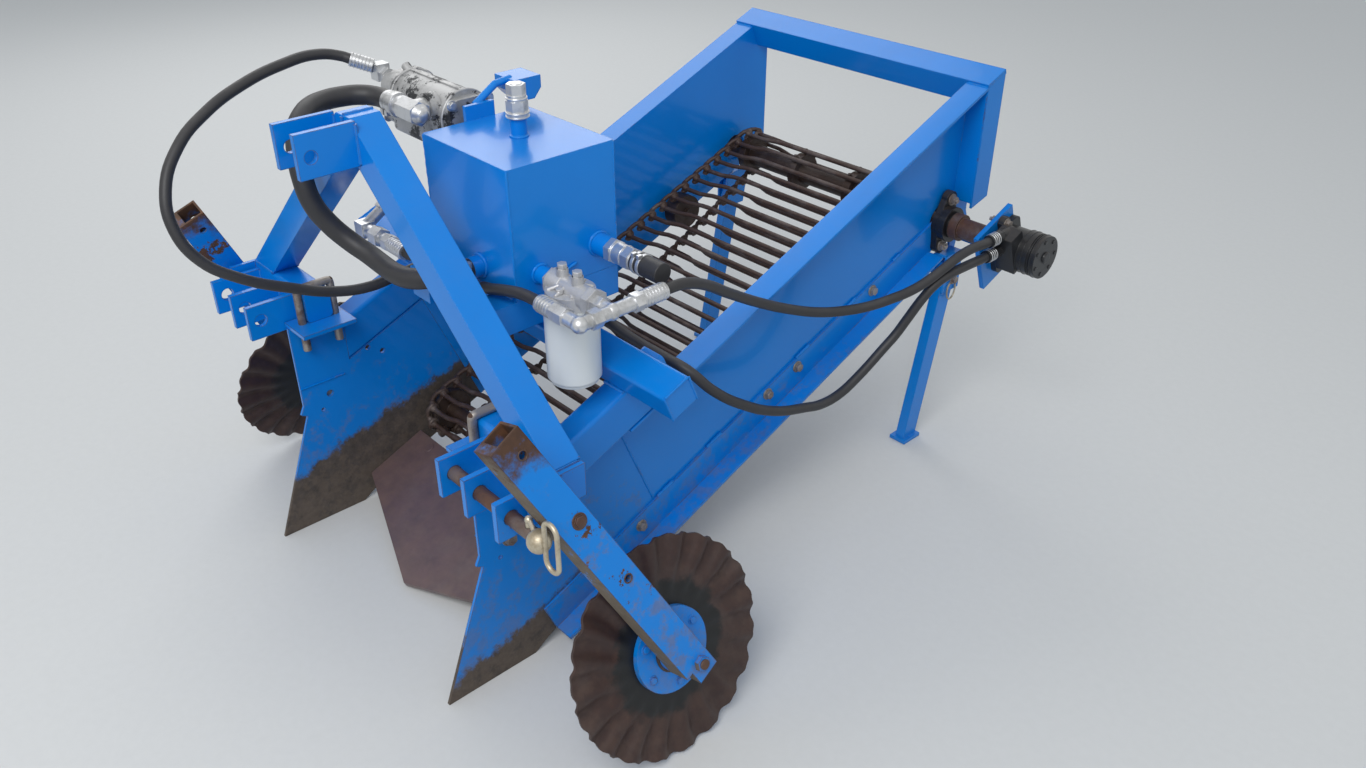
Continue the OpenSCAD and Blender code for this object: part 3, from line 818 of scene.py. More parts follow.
@dataclass
class Studio:
    """The camera at the photograph's angle, the soft light and the pale floor."""

    eye: Point = (1477.5, -615.4, 1393.8)
    azimuth: float = 47.0
    below: float = 31.6
    roll: float = 0.2
    lens: float = 29.32
    floor_size: float = 400.0

    def camera(self) -> bpy.types.Object:
        """Makes the scene's camera.

        Returns:
            The camera.
        """
        a, e = math.radians(self.azimuth), math.radians(self.below)
        ahead = Vector((-math.sin(a) * math.cos(e), math.cos(a) * math.cos(e), -math.sin(e)))
        data = bpy.data.cameras.new("camera")
        data.lens, data.sensor_width = self.lens, 36.0
        data.clip_end = 300.0
        made = bpy.data.objects.new("camera", data)
        turn = ahead.to_track_quat("-Z", "Y") @ Matrix.Rotation(math.radians(self.roll), 3,
                                                              "Z").to_quaternion()
        made.matrix_world = Matrix.Translation(TO_ROW @ Vector(self.eye)) @ turn.to_matrix().to_4x4()
        bpy.context.scene.collection.objects.link(made)
        bpy.context.scene.camera = made
        return made

    def light(self) -> None:
        """Sets a bright even sky and two soft lamps."""
        bpy.context.scene.view_settings.view_transform = "Standard"
        world = bpy.data.worlds.new("studio")
        world.use_nodes = True
        world.node_tree.nodes.clear()
        g = Graph(world.node_tree)
        path = g.add("LightPath").outputs
        seen = g.math("MAXIMUM", path["Is Camera Ray"], path["Is Transmission Ray"])
        seen = g.math("MAXIMUM", seen, path["Is Glossy Ray"])
        tone = g.mix(seen, shade(0.52, 0.56, 0.6), shade(0.72, 0.72, 0.71))
        back = g.add("Background", {"Color": tone, "Strength": 1.0})
        g.add("OutputWorld", {"Surface": back.outputs[0]})
        bpy.context.scene.world = world
        for name, place, size, power in (("key", (1.6, -2.6, 3.4), 2.2, 95.0),
                                         ("fill", (-3.2, 1.2, 2.8), 3.0, 45.0)):
            data = bpy.data.lights.new(name, "AREA")
            data.size, data.energy = size, power
            lamp = bpy.data.objects.new(name, data)
            lamp.location = place
            lamp.rotation_mode = "QUATERNION"
            lamp.rotation_quaternion = (Vector((0, 0, 0.4)) - Vector(place)).to_track_quat("-Z", "Y")
            bpy.context.scene.collection.objects.link(lamp)

    def floor(self, material: bpy.types.Material) -> None:
        """Lays the floor just under the plates.

        Args:
            material: the floor's material.
        """
        bm = bmesh.new()
        bmesh.ops.create_grid(bm, x_segments=1, y_segments=1, size=self.floor_size / 2,
                              matrix=Matrix.Translation((0, 0, -0.0005)))
        mesh = bpy.data.meshes.new("floor")
        bm.to_mesh(mesh)
        bm.free()
        mesh.materials.append(material)
        made = bpy.data.objects.new("floor", mesh)
        bpy.context.scene.collection.objects.link(made)


@dataclass
class Hose:
    """One hose: its node, its centre line and its thickness."""

    node: str
    path: list[Point]
    diameter: float
    stiffness: str = "stiff"

    def build(self, paint: Paintbox) -> None:
        """Args:
            paint: the finishes.
        """
        data = bpy.data.curves.new(self.node + "_rubber", "CURVE")
        data.dimensions = "3D"
        spline = data.splines.new("BEZIER")
        spline.bezier_points.add(len(self.path) - 1)
        spline.resolution_u = 6
        for knot, point in zip(spline.bezier_points, self.path):
            knot.co = TO_ROW @ Vector(point)
            knot.handle_left_type = knot.handle_right_type = "AUTO"
        data.bevel_depth = self.diameter / 2 * MM
        data.bevel_resolution = 5
        data.use_fill_caps = True
        data.materials.append(paint.get("hose_rubber"))
        made = bpy.data.objects.new(self.node + "_rubber", data)
        bpy.context.scene.collection.objects.link(made)
        bpy.context.view_layer.update()
        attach(made, "frame")
        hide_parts(self.node)


@dataclass
class Hydraulics:
    """The hoses with their bands, and the small parts of the filter, tank, pump and motor."""

    filter_x: float = 293.0
    filter_y: float = 262.0
    filler_x: float = 110.0
    filler_y: float = 318.0
    outlet_y: float = 376.0
    outlet_z: float = 670.0
    pump_x: float = -125.0
    pump_y: float = 325.0
    pump_z: float = 818.0
    pump_radius: float = 45.0
    motor_bolts: int = 7
    motor_bolt_circle: float = 33.0
    hoses: list[Hose] = field(default_factory=lambda: [
        Hose("return_hose", [
            (472, 1100, 535), (472, 1084, 535), (471, 1055, 537), (468, 1015, 532),
            (463, 978, 518), (455, 940, 501), (445, 905, 489), (433, 868, 482), (418, 830, 476),
            (400, 790, 474), (380, 740, 480), (364, 672, 504), (358, 600, 540), (368, 520, 588),
            (380, 450, 632), (387, 402, 652), (388, 378, 655), (388, 362, 655)], 18.0),
        Hose("pressure_hose", [
            (470, 1100, 503), (470, 1086, 503), (469, 1040, 504), (465, 990, 500),
            (458, 960, 487), (450, 943, 466), (434, 919, 419), (426, 904, 393),
            (419, 883, 371), (407, 825, 324), (402, 780, 303), (398, 735, 299),
            (395, 695, 308), (392, 620, 332), (386, 545, 374), (372, 482, 424),
            (345, 452, 462), (300, 444, 470), (230, 432, 482), (160, 420, 502),
            (90, 408, 524), (20, 396, 546), (-45, 370, 561),
            (-85, 320, 565), (-104, 260, 562), (-112, 200, 554), (-120, 150, 546),
            (-130, 90, 553), (-140, 20, 580), (-150, -52, 618), (-165, -98, 656),
            (-182, -120, 708), (-202, -112, 764), (-230, -70, 815), (-258, -8, 848),
            (-278, 58, 870), (-294, 140, 886), (-302, 210, 889), (-293, 247, 881),
            (-285, 258, 876)], 18.0),
        Hose("suction_hose", [
            (-130, 247, 838), (-148, 247, 838), (-176, 241, 840), (-197, 222, 842),
            (-206, 192, 843), (-202, 160, 844), (-188, 130, 843), (-166, 103, 838),
            (-142, 80, 824), (-120, 66, 800), (-104, 60, 766), (-94, 64, 728), (-82, 80, 693),
            (-62, 100, 664), (-32, 114, 647), (5, 118, 639), (45, 118, 638), (80, 125, 641),
            (106, 140, 647), (122, 160, 652), (130, 176, 653), (130, 195, 653)], 33.0),
        Hose("spare_hose", [
            (297, 204, 655), (284, 204, 655), (252, 203, 653), (214, 201, 645), (178, 199, 635),
            (160, 198, 631), (145, 196, 623), (130, 195, 618), (112, 194, 618.5), (90, 193, 624),
            (68, 190, 631), (48, 187, 635), (20, 184, 636), (-2, 182, 634), (-22, 180, 628),
            (-36, 180, 628)], 18.0),
    ])

    def lay_hoses(self, paint: Paintbox) -> None:
        """Makes every hose."""
        for hose in self.hoses:
            hose.build(paint)

    def bands(self, paint: Paintbox) -> None:
        """Puts the band clamps on the big hose, and the crimp rings on the ferrules.

        Args:
            paint: the finishes.
        """
        piece = Workpiece("hose_bands")
        suction = [Vector(p) for p in self.hoses[2].path]
        for near, far, share in ((0, 1, 0.35), (0, 1, 0.8), (20, 21, 0.4)):
            centre = suction[near].lerp(suction[far], share)
            axis = (suction[far] - suction[near]).normalized()
            piece.rod(centre - axis * 5, centre + axis * 5, 17.7, 32)
            side = axis.orthogonal().normalized()
            piece.block(centre + side * 19.5, (11.0, 7.0, 9.0),
                        (axis.to_track_quat("X", "Z")).to_matrix().to_4x4())
        for start, axis, radius, length in (
                (Vector((388, 318, 655)), Vector((0, 1, 0)), 13.0, 42.0),
                (Vector((299, 204, 655)), Vector((1, 0, 0)), 13.0, 30.0),
                (Vector((472, 1103, 535)), Vector((0, 1, 0)), 12.0, 22.0),
                (Vector((470, 1103, 503)), Vector((0, 1, 0)), 12.0, 22.0),
                (Vector((-78, 180, 628)), Vector((1, 0, 0)), 13.0, 38.0),
                (Vector((-285, 258, 876)), Vector((0.552, 0.76, -0.342)), 12.0, 34.0)):
            count = int(length / 5.5)
            for i in range(count):
                piece.ring(start + axis * (length * (i + 0.5) / count), axis, radius, 1.1, 24, 6)
        piece.finish("frame", "zinc", paint.get("zinc_plate"))

    def filter_parts(self, paint: Paintbox) -> None:
        """Adds the head's plugs, cone and ribs, and the canister's rolled rims.

        Args:
            paint: the finishes.
        """
        head = Workpiece("filter_head_parts")
        for x, y, size in ((276, 262, 8.0), (312, 262, 8.0), (296, 240, 6.0), (284, 284, 6.0)):
            top = 684.0 if y == 262 else 657.0
            head.rod(Vector((x, y, top - 1)), Vector((x, y, top + 8)), size, 6)
            head.rod(Vector((x, y, 650)), Vector((x, y, top)), size + 3.0, 20, size + 1.0)
        for turn in range(8):
            a = turn * math.pi / 4 + 0.2
            foot = Vector((self.filter_x + 34 * math.cos(a), self.filter_y + 34 * math.sin(a), 657))
            head.rod(Vector((self.filter_x, self.filter_y, 668)), foot, 3.0, 8)
        head.rod(Vector((256, self.filter_y, 655)), Vector((282, self.filter_y, 655)),
                 23.0, 28, 19.0)
        head.finish("frame", "cast_aluminium", paint.get("cast_aluminium"), bevel=0.6)
        can = Workpiece("canister_rims")
        for z, radius in ((627.0, 41.2), (514.0, 40.6)):
            can.ring(Vector((self.filter_x, self.filter_y, z)), Vector((0, 0, 1)), radius,
                     1.6, 48, 8)
        can.finish("frame", "white_paint", paint.get("white_enamel"))

    def tank_parts(self, paint: Paintbox) -> None:
        """Adds the tank's corner welds, port rings and the marks on its base.

        Args:
            paint: the finishes.
        """
        filler = Vector((self.filler_x, self.filler_y, 0))
        outlet = Vector((0, self.outlet_y, self.outlet_z))
        up, out = Vector((0, 0, 1)), Vector((1, 0, 0))
        welds = Workpiece("tank_welds")
        for x in (1.5, 218.5):
            for y in (216.5, 411.5):
                welds.bead(Vector((x, y, 624)), Vector((x, y, 827)), 2.2)
        for y in (214.5, 413.5):
            welds.bead(Vector((8, y, 623)), Vector((212, y, 623)), 2.4)
        welds.ring(Vector((221, self.filter_y, 655)), out, 15.0, 2.4, 32, 8)
        welds.ring(outlet + out * 221, out, 19.0, 2.6, 32, 8)
        welds.ring(Vector((130, 214, 653)), Vector((0, 1, 0)), 18.0, 2.6, 32, 8)
        welds.rod(filler + up * 829.4, filler + up * 857.4, 12.8, 32)
        welds.ring(filler + up * 830, up, 13.6, 2.2, 32, 8)
        welds.bead(Vector((221.5, 290, 640)), Vector((221.5, 330, 652)), 2.6)
        welds.finish("frame", "blue_paint", paint.get("blue_enamel"))
        caps = Workpiece("filler_rings")
        for z, radius in ((860.0, 17.2), (866.0, 17.2), (888.0, 15.4)):
            caps.ring(filler + up * z, up, radius, 1.4, 32, 8)
        caps.rod(filler + up * 905, filler + up * 910, 11.0, 24, 9.5)
        caps.finish("frame", "zinc", paint.get("zinc_plate"))
        elbow = Workpiece("outlet_details")
        for x in (267.0, 287.0):
            elbow.ring(outlet + out * x, out, 17.0, 1.2, 32, 6)
        for x in (314.0, 326.0):
            elbow.rod(outlet + out * x, outlet + out * (x + 6), 18.0, 32)
            elbow.block(Vector((x + 3, 366, 687)), (6.0, 9.0, 6.0))
        elbow.finish("frame", "zinc", paint.get("zinc_plate"), bevel=0.4)
        stub = Workpiece("outlet_hose_stub")
        stub.rod(outlet + out * 309, outlet + out * 370, 16.8, 32)
        stub.finish("frame", "hose_rubber", paint.get("hose_rubber"), bevel=1.2)

    def pump_parts(self, paint: Paintbox) -> None:
        """Adds the pump's cover bolts, lobes, port bosses, seam ribs and the round end below.

        Args:
            paint: the finishes.
        """
        body = Workpiece("pump_casting_parts")
        for y, z in ((300, 838), (350, 838)):
            body.rod(Vector((-226, y, z)), Vector((-240, y, z)), 17.0, 28, 15.5)
        for x in (-203.0, -47.0):
            path = [Vector((x, self.pump_y + self.pump_radius * math.cos(a),
                            self.pump_z + self.pump_radius * math.sin(a)))
                    for a in [math.radians(-20 + 220 * i / 20) for i in range(21)]]
            body.sweep(path, 2.6, 8)
        body.rod(Vector((-222, self.pump_y, 866)), Vector((-205, self.pump_y, 855)), 8.0, 16)
        body.block(Vector((self.pump_x, self.pump_y, 862)), (150.0, 9.0, 5.0))
        for y in (287.0, 363.0):
            body.block(Vector((self.pump_x, y, 800)), (154.0, 5.0, 9.0))
        body.finish("frame", "cast_aluminium", paint.get("pump_casting"), bevel=0.8)
        bolts = Workpiece("pump_bolts")
        for y, z in ((290, 780), (360, 780), (290, 848), (360, 848)):
            bolts.bolt(Vector((-30, y, z)), Vector((1, 0, 0)), 6.5, 5.5, 1.0)
        for y, z in ((288, 782), (362, 782), (325, 848)):
            bolts.bolt(Vector((-235, y, z)), Vector((-1, 0, 0)), 6.5, 5.5, 1.0)
        bolts.rod(Vector((-239, 350, 838)), Vector((-240.6, 350, 838)), 10.0, 24)
        bolts.rod(Vector((-54, 247, 838)), Vector((-46, 247, 838)), 17.0, 24, 12.0)
        bolts.dome(Vector((-47, 247, 838)), Vector((1, 0, 0)), 12.5, 7.0)
        bolts.finish("frame", "zinc", paint.get("zinc_plate"), bevel=0.4)

    def motor_parts(self, paint: Paintbox) -> None:
        """Adds the motor's cap bolts, its joint rings, a boss on its cap and two mounting lugs.

        Args:
            paint: the finishes.
        """
        piece = Workpiece("motor_cap_parts")
        centre = Vector((0, DRIVE.y, DRIVE.z))
        for i in range(self.motor_bolts):
            a = 2 * math.pi * i / self.motor_bolts
            foot = centre + Vector((539, self.motor_bolt_circle * math.cos(a),
                                    self.motor_bolt_circle * math.sin(a)))
            piece.bolt(foot - Vector((1.5, 0, 0)), Vector((1, 0, 0)), 4.6, 2.6, 0.5)
        for x, radius in ((500.0, 41.5), (511.0, 42.0), (525.0, 41.0), (530.0, 42.0)):
            piece.ring(centre + Vector((x, 0, 0)), Vector((1, 0, 0)), radius, 1.3, 48, 6)
        piece.rod(centre + Vector((539, 0, 0)), centre + Vector((543, 0, 0)), 12.0, 24, 10.0)
        turn = Matrix.Rotation(math.radians(SLOPE.degrees), 4, "X")
        for n in (182.0, 288.0):
            piece.rod(SLOPE.at(446, 199, n), SLOPE.at(458, 199, n), 13.0, 24)
            piece.block(SLOPE.at(452, 199, 234.7 + (n - 234.7) * 0.6), (12.0, 25.0, 56.0), turn)
        piece.finish("frame", "black_paint", paint.get("black_clean"), bevel=0.4)


@dataclass
class DiggingChain:
    """The web chain: cranked rods whose hooked ends hold the next rod."""

    rods: int = 60
    radius: float = 4.9
    half_width: float = 252.0
    hook_at: float = 240.0
    crank: float = 9.0
    drive: tuple[float, float, float] = (200.0, 234.7, 47.0)
    nose: tuple[float, float, float] = (1117.0, 226.0, 50.0)
    sag: float = 28.0

    def loop(self, along: float, out: float) -> tuple[float, float]:
        """A place on the chain's loop.

        Args:
            along: the distance round the loop from the nose's top.
            out: how far outside the loop's centre line.

        Returns:
            The distance down the slope and the depth under the rim.
        """
        drive_s, drive_n, drive_r = self.drive
        nose_s, nose_n, nose_r = self.nose
        run = nose_s - drive_s
        arc_d, arc_n = math.pi * drive_r, math.pi * nose_r
        along %= 2 * run + arc_d + arc_n
        if along < run:
            t = along / run
            return nose_s - along, (nose_n - nose_r) * (1 - t) + (drive_n - drive_r) * t - out
        if along < run + arc_d:
            a = (along - run) / drive_r
            return (drive_s - (drive_r + out) * math.sin(a),
                    drive_n - (drive_r + out) * math.cos(a))
        if along < 2 * run + arc_d:
            t = (along - run - arc_d) / run
            low = (drive_n + drive_r) * (1 - t) + (nose_n + nose_r) * t
            return drive_s + run * t, low + 4 * self.sag * t * (1 - t) + out
        a = (along - 2 * run - arc_d) / nose_r
        return nose_s + (nose_r + out) * math.sin(a), nose_n + (nose_r + out) * math.cos(a)

    def spot(self, x: float, along: float, out: float = 0.0) -> Vector:
        """A point of the loop at x across."""
        s, n = self.loop(along, out)
        return SLOPE.at(x, s, n)

    def length(self) -> float:
        """The loop's length."""
        run = self.nose[0] - self.drive[0]
        return 2 * run + math.pi * (self.drive[2] + self.nose[2])

    def end_path(self, place: float, pitch: float) -> list[tuple[float, float, float]]:
        """One end of a rod, from its middle out to the tip of its hook, as across, along, out.

        Args:
            place: the rod's distance round the loop.
            pitch: the distance between rods.

        Returns:
            The points, as across, along and out.
        """
        hook = 8.5
        path = [(0.0, self.crank, 0.0), (70.0, self.crank, 0.0), (140.0, self.crank, 0.0),
                (158.0, self.crank * 0.85, 0.0), (174.0, self.crank * 0.4, 0.0),
                (190.0, 0.0, 0.0), (226.0, -1.0, 0.0), (240.0, 0.0, 0.4),
                (249.0, 4.0, 1.0), (self.half_width, 12.0, 2.0), (250.0, pitch * 0.55, 4.0),
                (246.0, pitch * 0.8, 7.0)]
        for i in range(7):
            a = math.radians(90 - 42 * i)
            path.append((self.hook_at, pitch + hook * math.cos(a), hook * math.sin(a)))
        return [(x, place + t, out) for x, t, out in path]

    def build(self, paint: Paintbox) -> None:
        """Makes every rod and puts the chain in place of its plain node.

        Args:
            paint: the finishes.
        """
        piece = Workpiece("web_chain_rods")
        pitch = self.length() / self.rods
        for i in range(self.rods):
            half = self.end_path(i * pitch, pitch)
            left = [self.spot(x, t, out) for x, t, out in half]
            right = [self.spot(-x, t, out) for x, t, out in half[1:]]
            rod = Workpiece("rod")
            rod.sweep(list(reversed(right)) + left, self.radius, 8)
            part = bpy.data.meshes.new("rod")
            rod.bm.to_mesh(part)
            rod.bm.free()
            piece.bm.from_mesh(part)
            bpy.data.meshes.remove(part)
            for side in Side:
                for x, t, size in ((self.hook_at - 2, pitch, 9.0), (self.half_width - 5, 8.0, 8.0)):
                    lump = self.spot(side.value * x, i * pitch + t, 1.5)
                    bmesh.ops.create_icosphere(piece.bm, subdivisions=1, radius=size,
                                               matrix=Matrix.Translation(lump))
        made = piece.finish("frame", "chain_steel", paint.get("chain_rust"), smooth=60.0)
        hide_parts("web_chain")

    def sprockets(self, paint: Paintbox) -> None:
        """Adds the drive teeth that stand between the rods at the upper end.

        Args:
            paint: the finishes.
        """
        piece = Workpiece("drive_teeth")
        pitch = self.length() / self.rods
        run = self.nose[0] - self.drive[0]
        for i in range(self.rods):
            along = (i + 0.5) * pitch
            if not run - 10 < along < run + math.pi * self.drive[2] + 10:
                continue
            for x in (-230.0, -77.0, 77.0, 230.0):
                low, high = self.spot(x, along, -10.0), self.spot(x, along, 4.0)
                piece.rod(low, high, 9.0, 4, 4.0)
        piece.finish("frame", "roller_steel", paint.get("oily_steel"), bevel=0.6)


@dataclass
class Coulter:
    """One leaning coulter: its fluted disc, flange bolts and the dressing of its arm."""

    side: Side
    centre: Point
    tilt: float = 17.0
    radius: float = 178.0
    waves: int = 20
    depth: float = 4.2
    thickness: float = 4.5
    arm_top: Point = (0.0, -196.0, 421.0)

    def place(self) -> Matrix:
        """The matrix from the disc's own frame, X outward along its axle, to the machine's.

        Returns:
            The matrix.
        """
        turn = Matrix.Rotation(math.radians(-self.tilt), 4, "Y")
        local = Matrix.Translation(Vector((abs(self.centre[0]), *self.centre[1:]))) @ turn
        return Matrix.Diagonal((float(self.side.value), 1.0, 1.0, 1.0)) @ local

    @property
    def body(self) -> str:
        """The CAD body of the turning disc."""
        return "coulter_" + self.side.word

    def disc(self, paint: Paintbox) -> None:
        """Makes the disc: rings from the eye to the edge, waved, then given their thickness.

        Args:
            paint: the finishes.
        """
        piece = Workpiece("fluted_" + self.body)
        bm = piece.bm
        across = Matrix.Rotation(math.pi / 2, 4, "Y")
        radii = [24.0, 60.0, 84.0, 96.0, 108.0, 124.0, 140.0, 155.0, 167.0, self.radius]
        ring = bmesh.ops.create_circle(bm, segments=240, radius=radii[0], matrix=across)["verts"]
        edges = list({e for v in ring for e in v.link_edges})
        for low, high in zip(radii, radii[1:]):
            grown = bmesh.ops.extrude_edge_only(bm, edges=edges)["geom"]
            verts = [v for v in grown if isinstance(v, bmesh.types.BMVert)]
            fresh = set(verts)
            edges = [e for e in grown if isinstance(e, bmesh.types.BMEdge)
                     and e.verts[0] in fresh and e.verts[1] in fresh]
            bmesh.ops.scale(bm, vec=Vector((high / low,) * 3), verts=verts)
        for vert in bm.verts:
            reach = math.hypot(vert.co.y, vert.co.z)
            share = min(1.0, max(0.0, (reach - 84.0) / 56.0))
            lean = math.atan2(vert.co.z, vert.co.y) + 0.12 * share
            swing = math.sin(self.waves * lean)
            vert.co.x += self.depth * share * (1.35 * swing - 0.35 * swing ** 3)
            if reach > 170.0:
                vert.co.yz = vert.co.yz * (1.0 - 0.009 * (1.0 - math.cos(self.waves * lean * 2)))
        bmesh.ops.recalc_face_normals(bm, faces=bm.faces)
        bmesh.ops.solidify(bm, geom=bm.faces[:], thickness=self.thickness)
        shift = sum(v.co.x for v in bm.verts) / len(bm.verts)
        bmesh.ops.translate(bm, vec=Vector((-shift, 0, 0)), verts=bm.verts)
        bmesh.ops.transform(bm, matrix=self.place(), verts=bm.verts)
        made = piece.finish(self.body, "disc_steel", paint.get("disc_rust"), smooth=50.0)
        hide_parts("coulter_disc_" + self.side.word)

    def hub(self, paint: Paintbox) -> None:
        """Adds the flange's bolts and the greasy ring round the axle.

        Args:
            paint: the finishes.
        """
        bolts = Workpiece(self.body + "_bolts")
        place = self.place()
        for i in range(6):
            a = math.pi / 6 + math.pi / 3 * i
            foot = Vector((12.0, 54 * math.cos(a), 54 * math.sin(a)))
            bolts.bolt(foot, Vector((1, 0, 0)), 6.0, 3.2, 0.8)
            back = Vector((-10.0, 38 * math.cos(a), 38 * math.sin(a)))
            bolts.bolt(back, Vector((-1, 0, 0)), 6.5, 6.0, 1.5, 4.0)
        bmesh.ops.transform(bolts.bm, matrix=place, verts=bolts.bm.verts)
        bolts.finish(self.body, "blue_paint", paint.get("blue_plate"), bevel=0.5)
        grease = Workpiece(self.body + "_collar")
        grease.ring(Vector((27.0, 0, 0)), Vector((1, 0, 0)), 24.0, 4.0, 36, 8)
        grease.ring(Vector((14.0, 0, 0)), Vector((1, 0, 0)), 31.0, 3.0, 36, 8)
        bmesh.ops.transform(grease.bm, matrix=place, verts=grease.bm.verts)
        grease.finish(self.body, "disc_steel", paint.get("oily_steel"))

    def arm(self, paint: Paintbox) -> None:
        """Adds the arm's clamping bolt and the end of its axle.

        Args:
            paint: the finishes.
        """
        back, up = self.arm_top[1], self.arm_top[2]
        lean = Matrix.Rotation(math.atan2(-back, up), 4, "X")
        place = self.place() @ lean
        bolts = Workpiece("coulter_arm_" + self.side.word + "_bolts")
        bolts.bolt(Vector((75, 0, 330)), Vector((1, 0, 0)), 9.0, 4.0, 1.2)
        bolts.bolt(Vector((35, 0, 330)), Vector((-1, 0, 0)), 10.5, 9.0, 1.0)
        bolts.rod(Vector((83, 0, 0)), Vector((86, 0, 0)), 8.0, 20)
        for z in (206.0, 461.0):
            bolts.ring(Vector((75.2, 0, z)), Vector((1, 0, 0)), 6.6, 1.2, 20, 6)
        bmesh.ops.transform(bolts.bm, matrix=place, verts=bolts.bm.verts)
        bolts.finish("frame", "pin_steel", paint.get("pin_rust"), bevel=0.5)

    def build(self, paint: Paintbox) -> None:
        """Builds the whole coulter.

        Args:
            paint: the finishes.
        """
        self.disc(paint)
        self.hub(paint)
        self.arm(paint)


@dataclass
class Framework:
    """Bolts, weld beads and overlays on the trough, the hitch and the stands."""

    rail_bolts: tuple[tuple[float, float], ...] = ((425, 237), (654, 239), (738, 234), (1083, 244))
    overlays: tuple[tuple[float, float], ...] = (
        (140, 180), (330, 352), (470, 505), (610, 650), (860, 900), (990, 1030))

    def bolts(self, paint: Paintbox) -> None:
        """Adds the rusty heads on the rails, bearings, motor plate and share.

        Args:
            paint: the finishes.
        """
        piece = Workpiece("frame_bolts")
        for side in Side:
            k = side.value
            out = Vector((k, 0, 0))
            for s, n in self.rail_bolts:
                piece.bolt(SLOPE.at(k * (WALL_OUT + 5), s, n), out, 8.5, 7.0, 2.0)
            for y, z in ((-9, -47), (9, 47)):
                foot = Vector((k * (WALL_OUT + 19), DRIVE.y + y, DRIVE.z + z))
                piece.bolt(foot, out, 9.0, 8.0, 2.5, 4.0)
            piece.bolt(Vector((k * WALL_OUT, 115, 270)), out, 10.0, 8.0, 2.5)
            piece.bolt(Vector((k * (WALL_OUT + 45), 1212, 372)), out, 8.0, 6.0, 0.5)
        for n in (182, 288):
            piece.bolt(SLOPE.at(458, 199, n), Vector((1, 0, 0)), 8.0, 7.0, 1.5)
            piece.bolt(SLOPE.at(436, 199, n), Vector((-1, 0, 0)), 8.0, 7.0, 1.5, 6.0)
        piece.finish("frame", "pin_steel", paint.get("dirty_zinc"), bevel=0.5)
        studs = Workpiece("share_bolts")
        for x in (-230.0, -115.0, 0.0, 115.0, 230.0):
            low, high = SLOPE.at(x, 1205, 250.6), SLOPE.at(x, 1205, 248.6)
            studs.rod(low, high, 11.0, 24, 10.0)
        studs.finish("frame", "worn_steel", paint.get("worn_share"))

    def hitch_welds(self, paint: Paintbox) -> None:
        """Adds the beads round the mast, the clevis, the ears and the stubs.

        Args:
            paint: the finishes.
        """
        piece = Workpiece("hitch_welds")
        piece.bead(Vector((0, 90, 836)), Vector((0, 90, 882)), 3.0)
        piece.bead(Vector((0, 92, 884)), Vector((0, 140, 884)), 2.8)
        for x in (-36.5, -25.5, 25.5, 36.5):
            piece.bead(Vector((x, 90.5, 820)), Vector((x, 90.5, 880)), 3.0)
        for side in Side:
            k = side.value
            for x in (305, 315, 369, 379, 444, 454):
                piece.bead(Vector((k * x, 90.5, 440)), Vector((k * x, 90.5, 481)), 2.8)
            piece.bead(Vector((k * 384, 92, 496)), Vector((k * 456, 92, 496)), 3.0)
            piece.bead(Vector((k * 384, 140, 496)), Vector((k * 456, 140, 496)), 3.0)
            piece.bead(Vector((k * 468, 48, 447)), Vector((k * 468, 48, 485)), 3.0)
            piece.bead(Vector((k * 468, 50, 486)), Vector((k * 468, 86, 486)), 3.0)
            piece.bead(Vector((k * 430, 91, 461)), Vector((k * 459, 91, 461)), 2.6)
        piece.finish("frame", "blue_paint", paint.get("blue_hitch"))

    def trough_welds(self, paint: Paintbox) -> None:
        """Adds stitch welds along the rails and the beads at the beam, bar and tubes.

        Args:
            paint: the finishes.
        """
        piece = Workpiece("trough_welds")
        turn = Matrix.Rotation(math.radians(SLOPE.degrees), 4, "X")
        for side in Side:
            k = side.value
            for low, high in self.overlays:
                seam = k * (WALL_OUT + 3)
                piece.bead(SLOPE.at(seam, low, 221), SLOPE.at(seam, high, 221), 3.2)
                piece.block(SLOPE.at(k * (WALL_OUT + 2.5), (low + high) / 2, 226),
                            (3.4, high - low, 11.0), turn)
            for s in (-1.0, 57.0):
                piece.bead(SLOPE.at(k * 292, s, 0.5), SLOPE.at(k * 336, s, 0.5), 2.4)
            for s in (961, 1019):
                piece.bead(SLOPE.at(k * 290, s, -75.0), SLOPE.at(k * 336, s, -75.0), 3.0)
            for s in (964, 1016):
                piece.bead(SLOPE.at(k * 450, s, -124), SLOPE.at(k * 450, s, -76), 2.2)
            piece.bead(SLOPE.at(k * 450, 965, -125), SLOPE.at(k * 450, 1015, -125), 2.2)
            piece.bead(SLOPE.at(k * WALL_OUT, 1037, 30), SLOPE.at(k * WALL_OUT, 1037, 270), 2.2)
            piece.bead(Vector((k * 287, 150, 300)), Vector((k * 287, 60, 300)), 1.6)
        for x in (0, 50, 170, 220):
            edge = x + (2 if x in (0, 170) else -2)
            piece.bead(Vector((edge, 311, 560)), Vector((edge, 353, 560)), 2.4)
        piece.finish("frame", "blue_paint", paint.get("blue_enamel"))

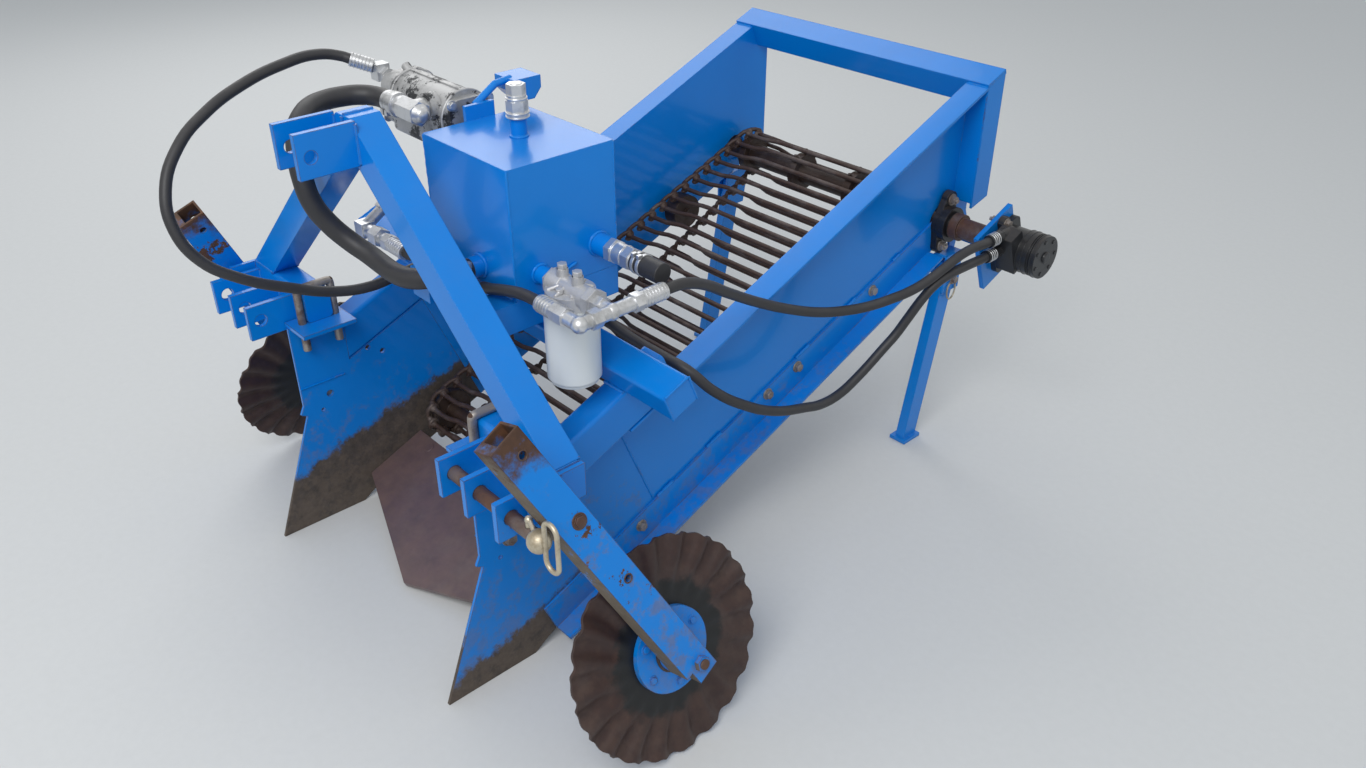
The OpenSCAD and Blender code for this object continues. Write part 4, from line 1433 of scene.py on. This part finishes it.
    def clamp_bolts(self, paint: Paintbox) -> None:
        """Covers the clamps' bent rods and nuts with grey zinc, apart from their blue plates.

        Args:
            paint: the finishes.
        """
        piece = Workpiece("clamp_rods")
        for side in Side:
            x = 276.0 * side.value
            path = [Vector((x, 84, z)) for z in (381.5, 420.0, 460.0, 497.0)]
            path += [Vector((x, 84.6, 501.0)), Vector((x, 86.4, 502.6)), Vector((x, 91, 503.2))]
            path += [Vector((x, 116, 503.4)), Vector((x, 141, 503.2))]
            path += [Vector((x, 145.6, 502.6)), Vector((x, 147.4, 501.0))]
            path += [Vector((x, 148, z)) for z in (497.0, 460.0, 420.0, 381.5)]
            piece.sweep(path, 7.4, 14)
            for y in (84.0, 148.0):
                piece.rod(Vector((x, y, 415.5)), Vector((x, y, 428.5)), 11.0, 6)
                for i in range(9):
                    piece.ring(Vector((x, y, 384 + 3.4 * i)), Vector((0, 0, 1)), 7.0, 0.8, 16, 5)
        piece.finish("frame", "pin_steel", paint.get("dirty_zinc"), bevel=0.4)

    def pins(self, paint: Paintbox) -> None:
        """Adds the spring clips of the stands and the pin's rim.

        Args:
            paint: the finishes.
        """
        piece = Workpiece("stand_clips")
        for side in Side:
            k = side.value
            x = k * (WALL_OUT + 42)
            path = [Vector((x, 1212 + 14 * math.cos(a), 346 + 20 * math.sin(a)))
                    for a in [math.radians(90 + 300 * i / 18) for i in range(19)]]
            piece.sweep(path, 1.8, 8)
        piece.rod(Vector((504.6, 23, 453)), Vector((506.5, 23, 453)), 10.4, 28, 9.2)
        piece.finish("frame", "zinc", paint.get("cream_zinc"))

    def build(self, paint: Paintbox) -> None:
        """Builds every small part of the frame.

        Args:
            paint: the finishes.
        """
        self.bolts(paint)
        self.hitch_welds(paint)
        self.trough_welds(paint)
        self.clamp_bolts(paint)
        self.pins(paint)


def paint_nodes(loaded: dict, paint: Paintbox) -> None:
    """Gives every CAD node its material from its slot or its own finish.

    Args:
        paint: the finishes.
    """
    slots = {row["node"]: row["material_slot"] for row in loaded["record"]["subparts"]}
    for name, node in loaded["nodes"].items():
        wanted = NODE_FINISH.get(name) or SLOT_FINISH[slots[name]]
        node.data.materials.clear()
        node.data.materials.append(paint.get(wanted))


def main() -> None:
    """Builds the scene: camera, frame, hoses, small parts, floor and light."""
    logging.basicConfig(level=logging.INFO, format="%(message)s")
    studio = Studio()
    studio.camera()
    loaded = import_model()
    paint = Paintbox()
    paint_nodes(loaded, paint)
    hydraulics = Hydraulics()
    hydraulics.lay_hoses(paint)
    hydraulics.bands(paint)
    hydraulics.filter_parts(paint)
    hydraulics.tank_parts(paint)
    hydraulics.pump_parts(paint)
    hydraulics.motor_parts(paint)
    chain = DiggingChain()
    chain.build(paint)
    chain.sprockets(paint)
    Coulter(Side.LEFT, (568.0, 203.0, 174.0)).build(paint)
    Coulter(Side.RIGHT, (-538.0, 203.0, 174.0)).build(paint)
    Framework().build(paint)
    studio.light()
    studio.floor(paint.floor)
    bpy.context.view_layer.update()


if __name__ == "__main__":
    main()
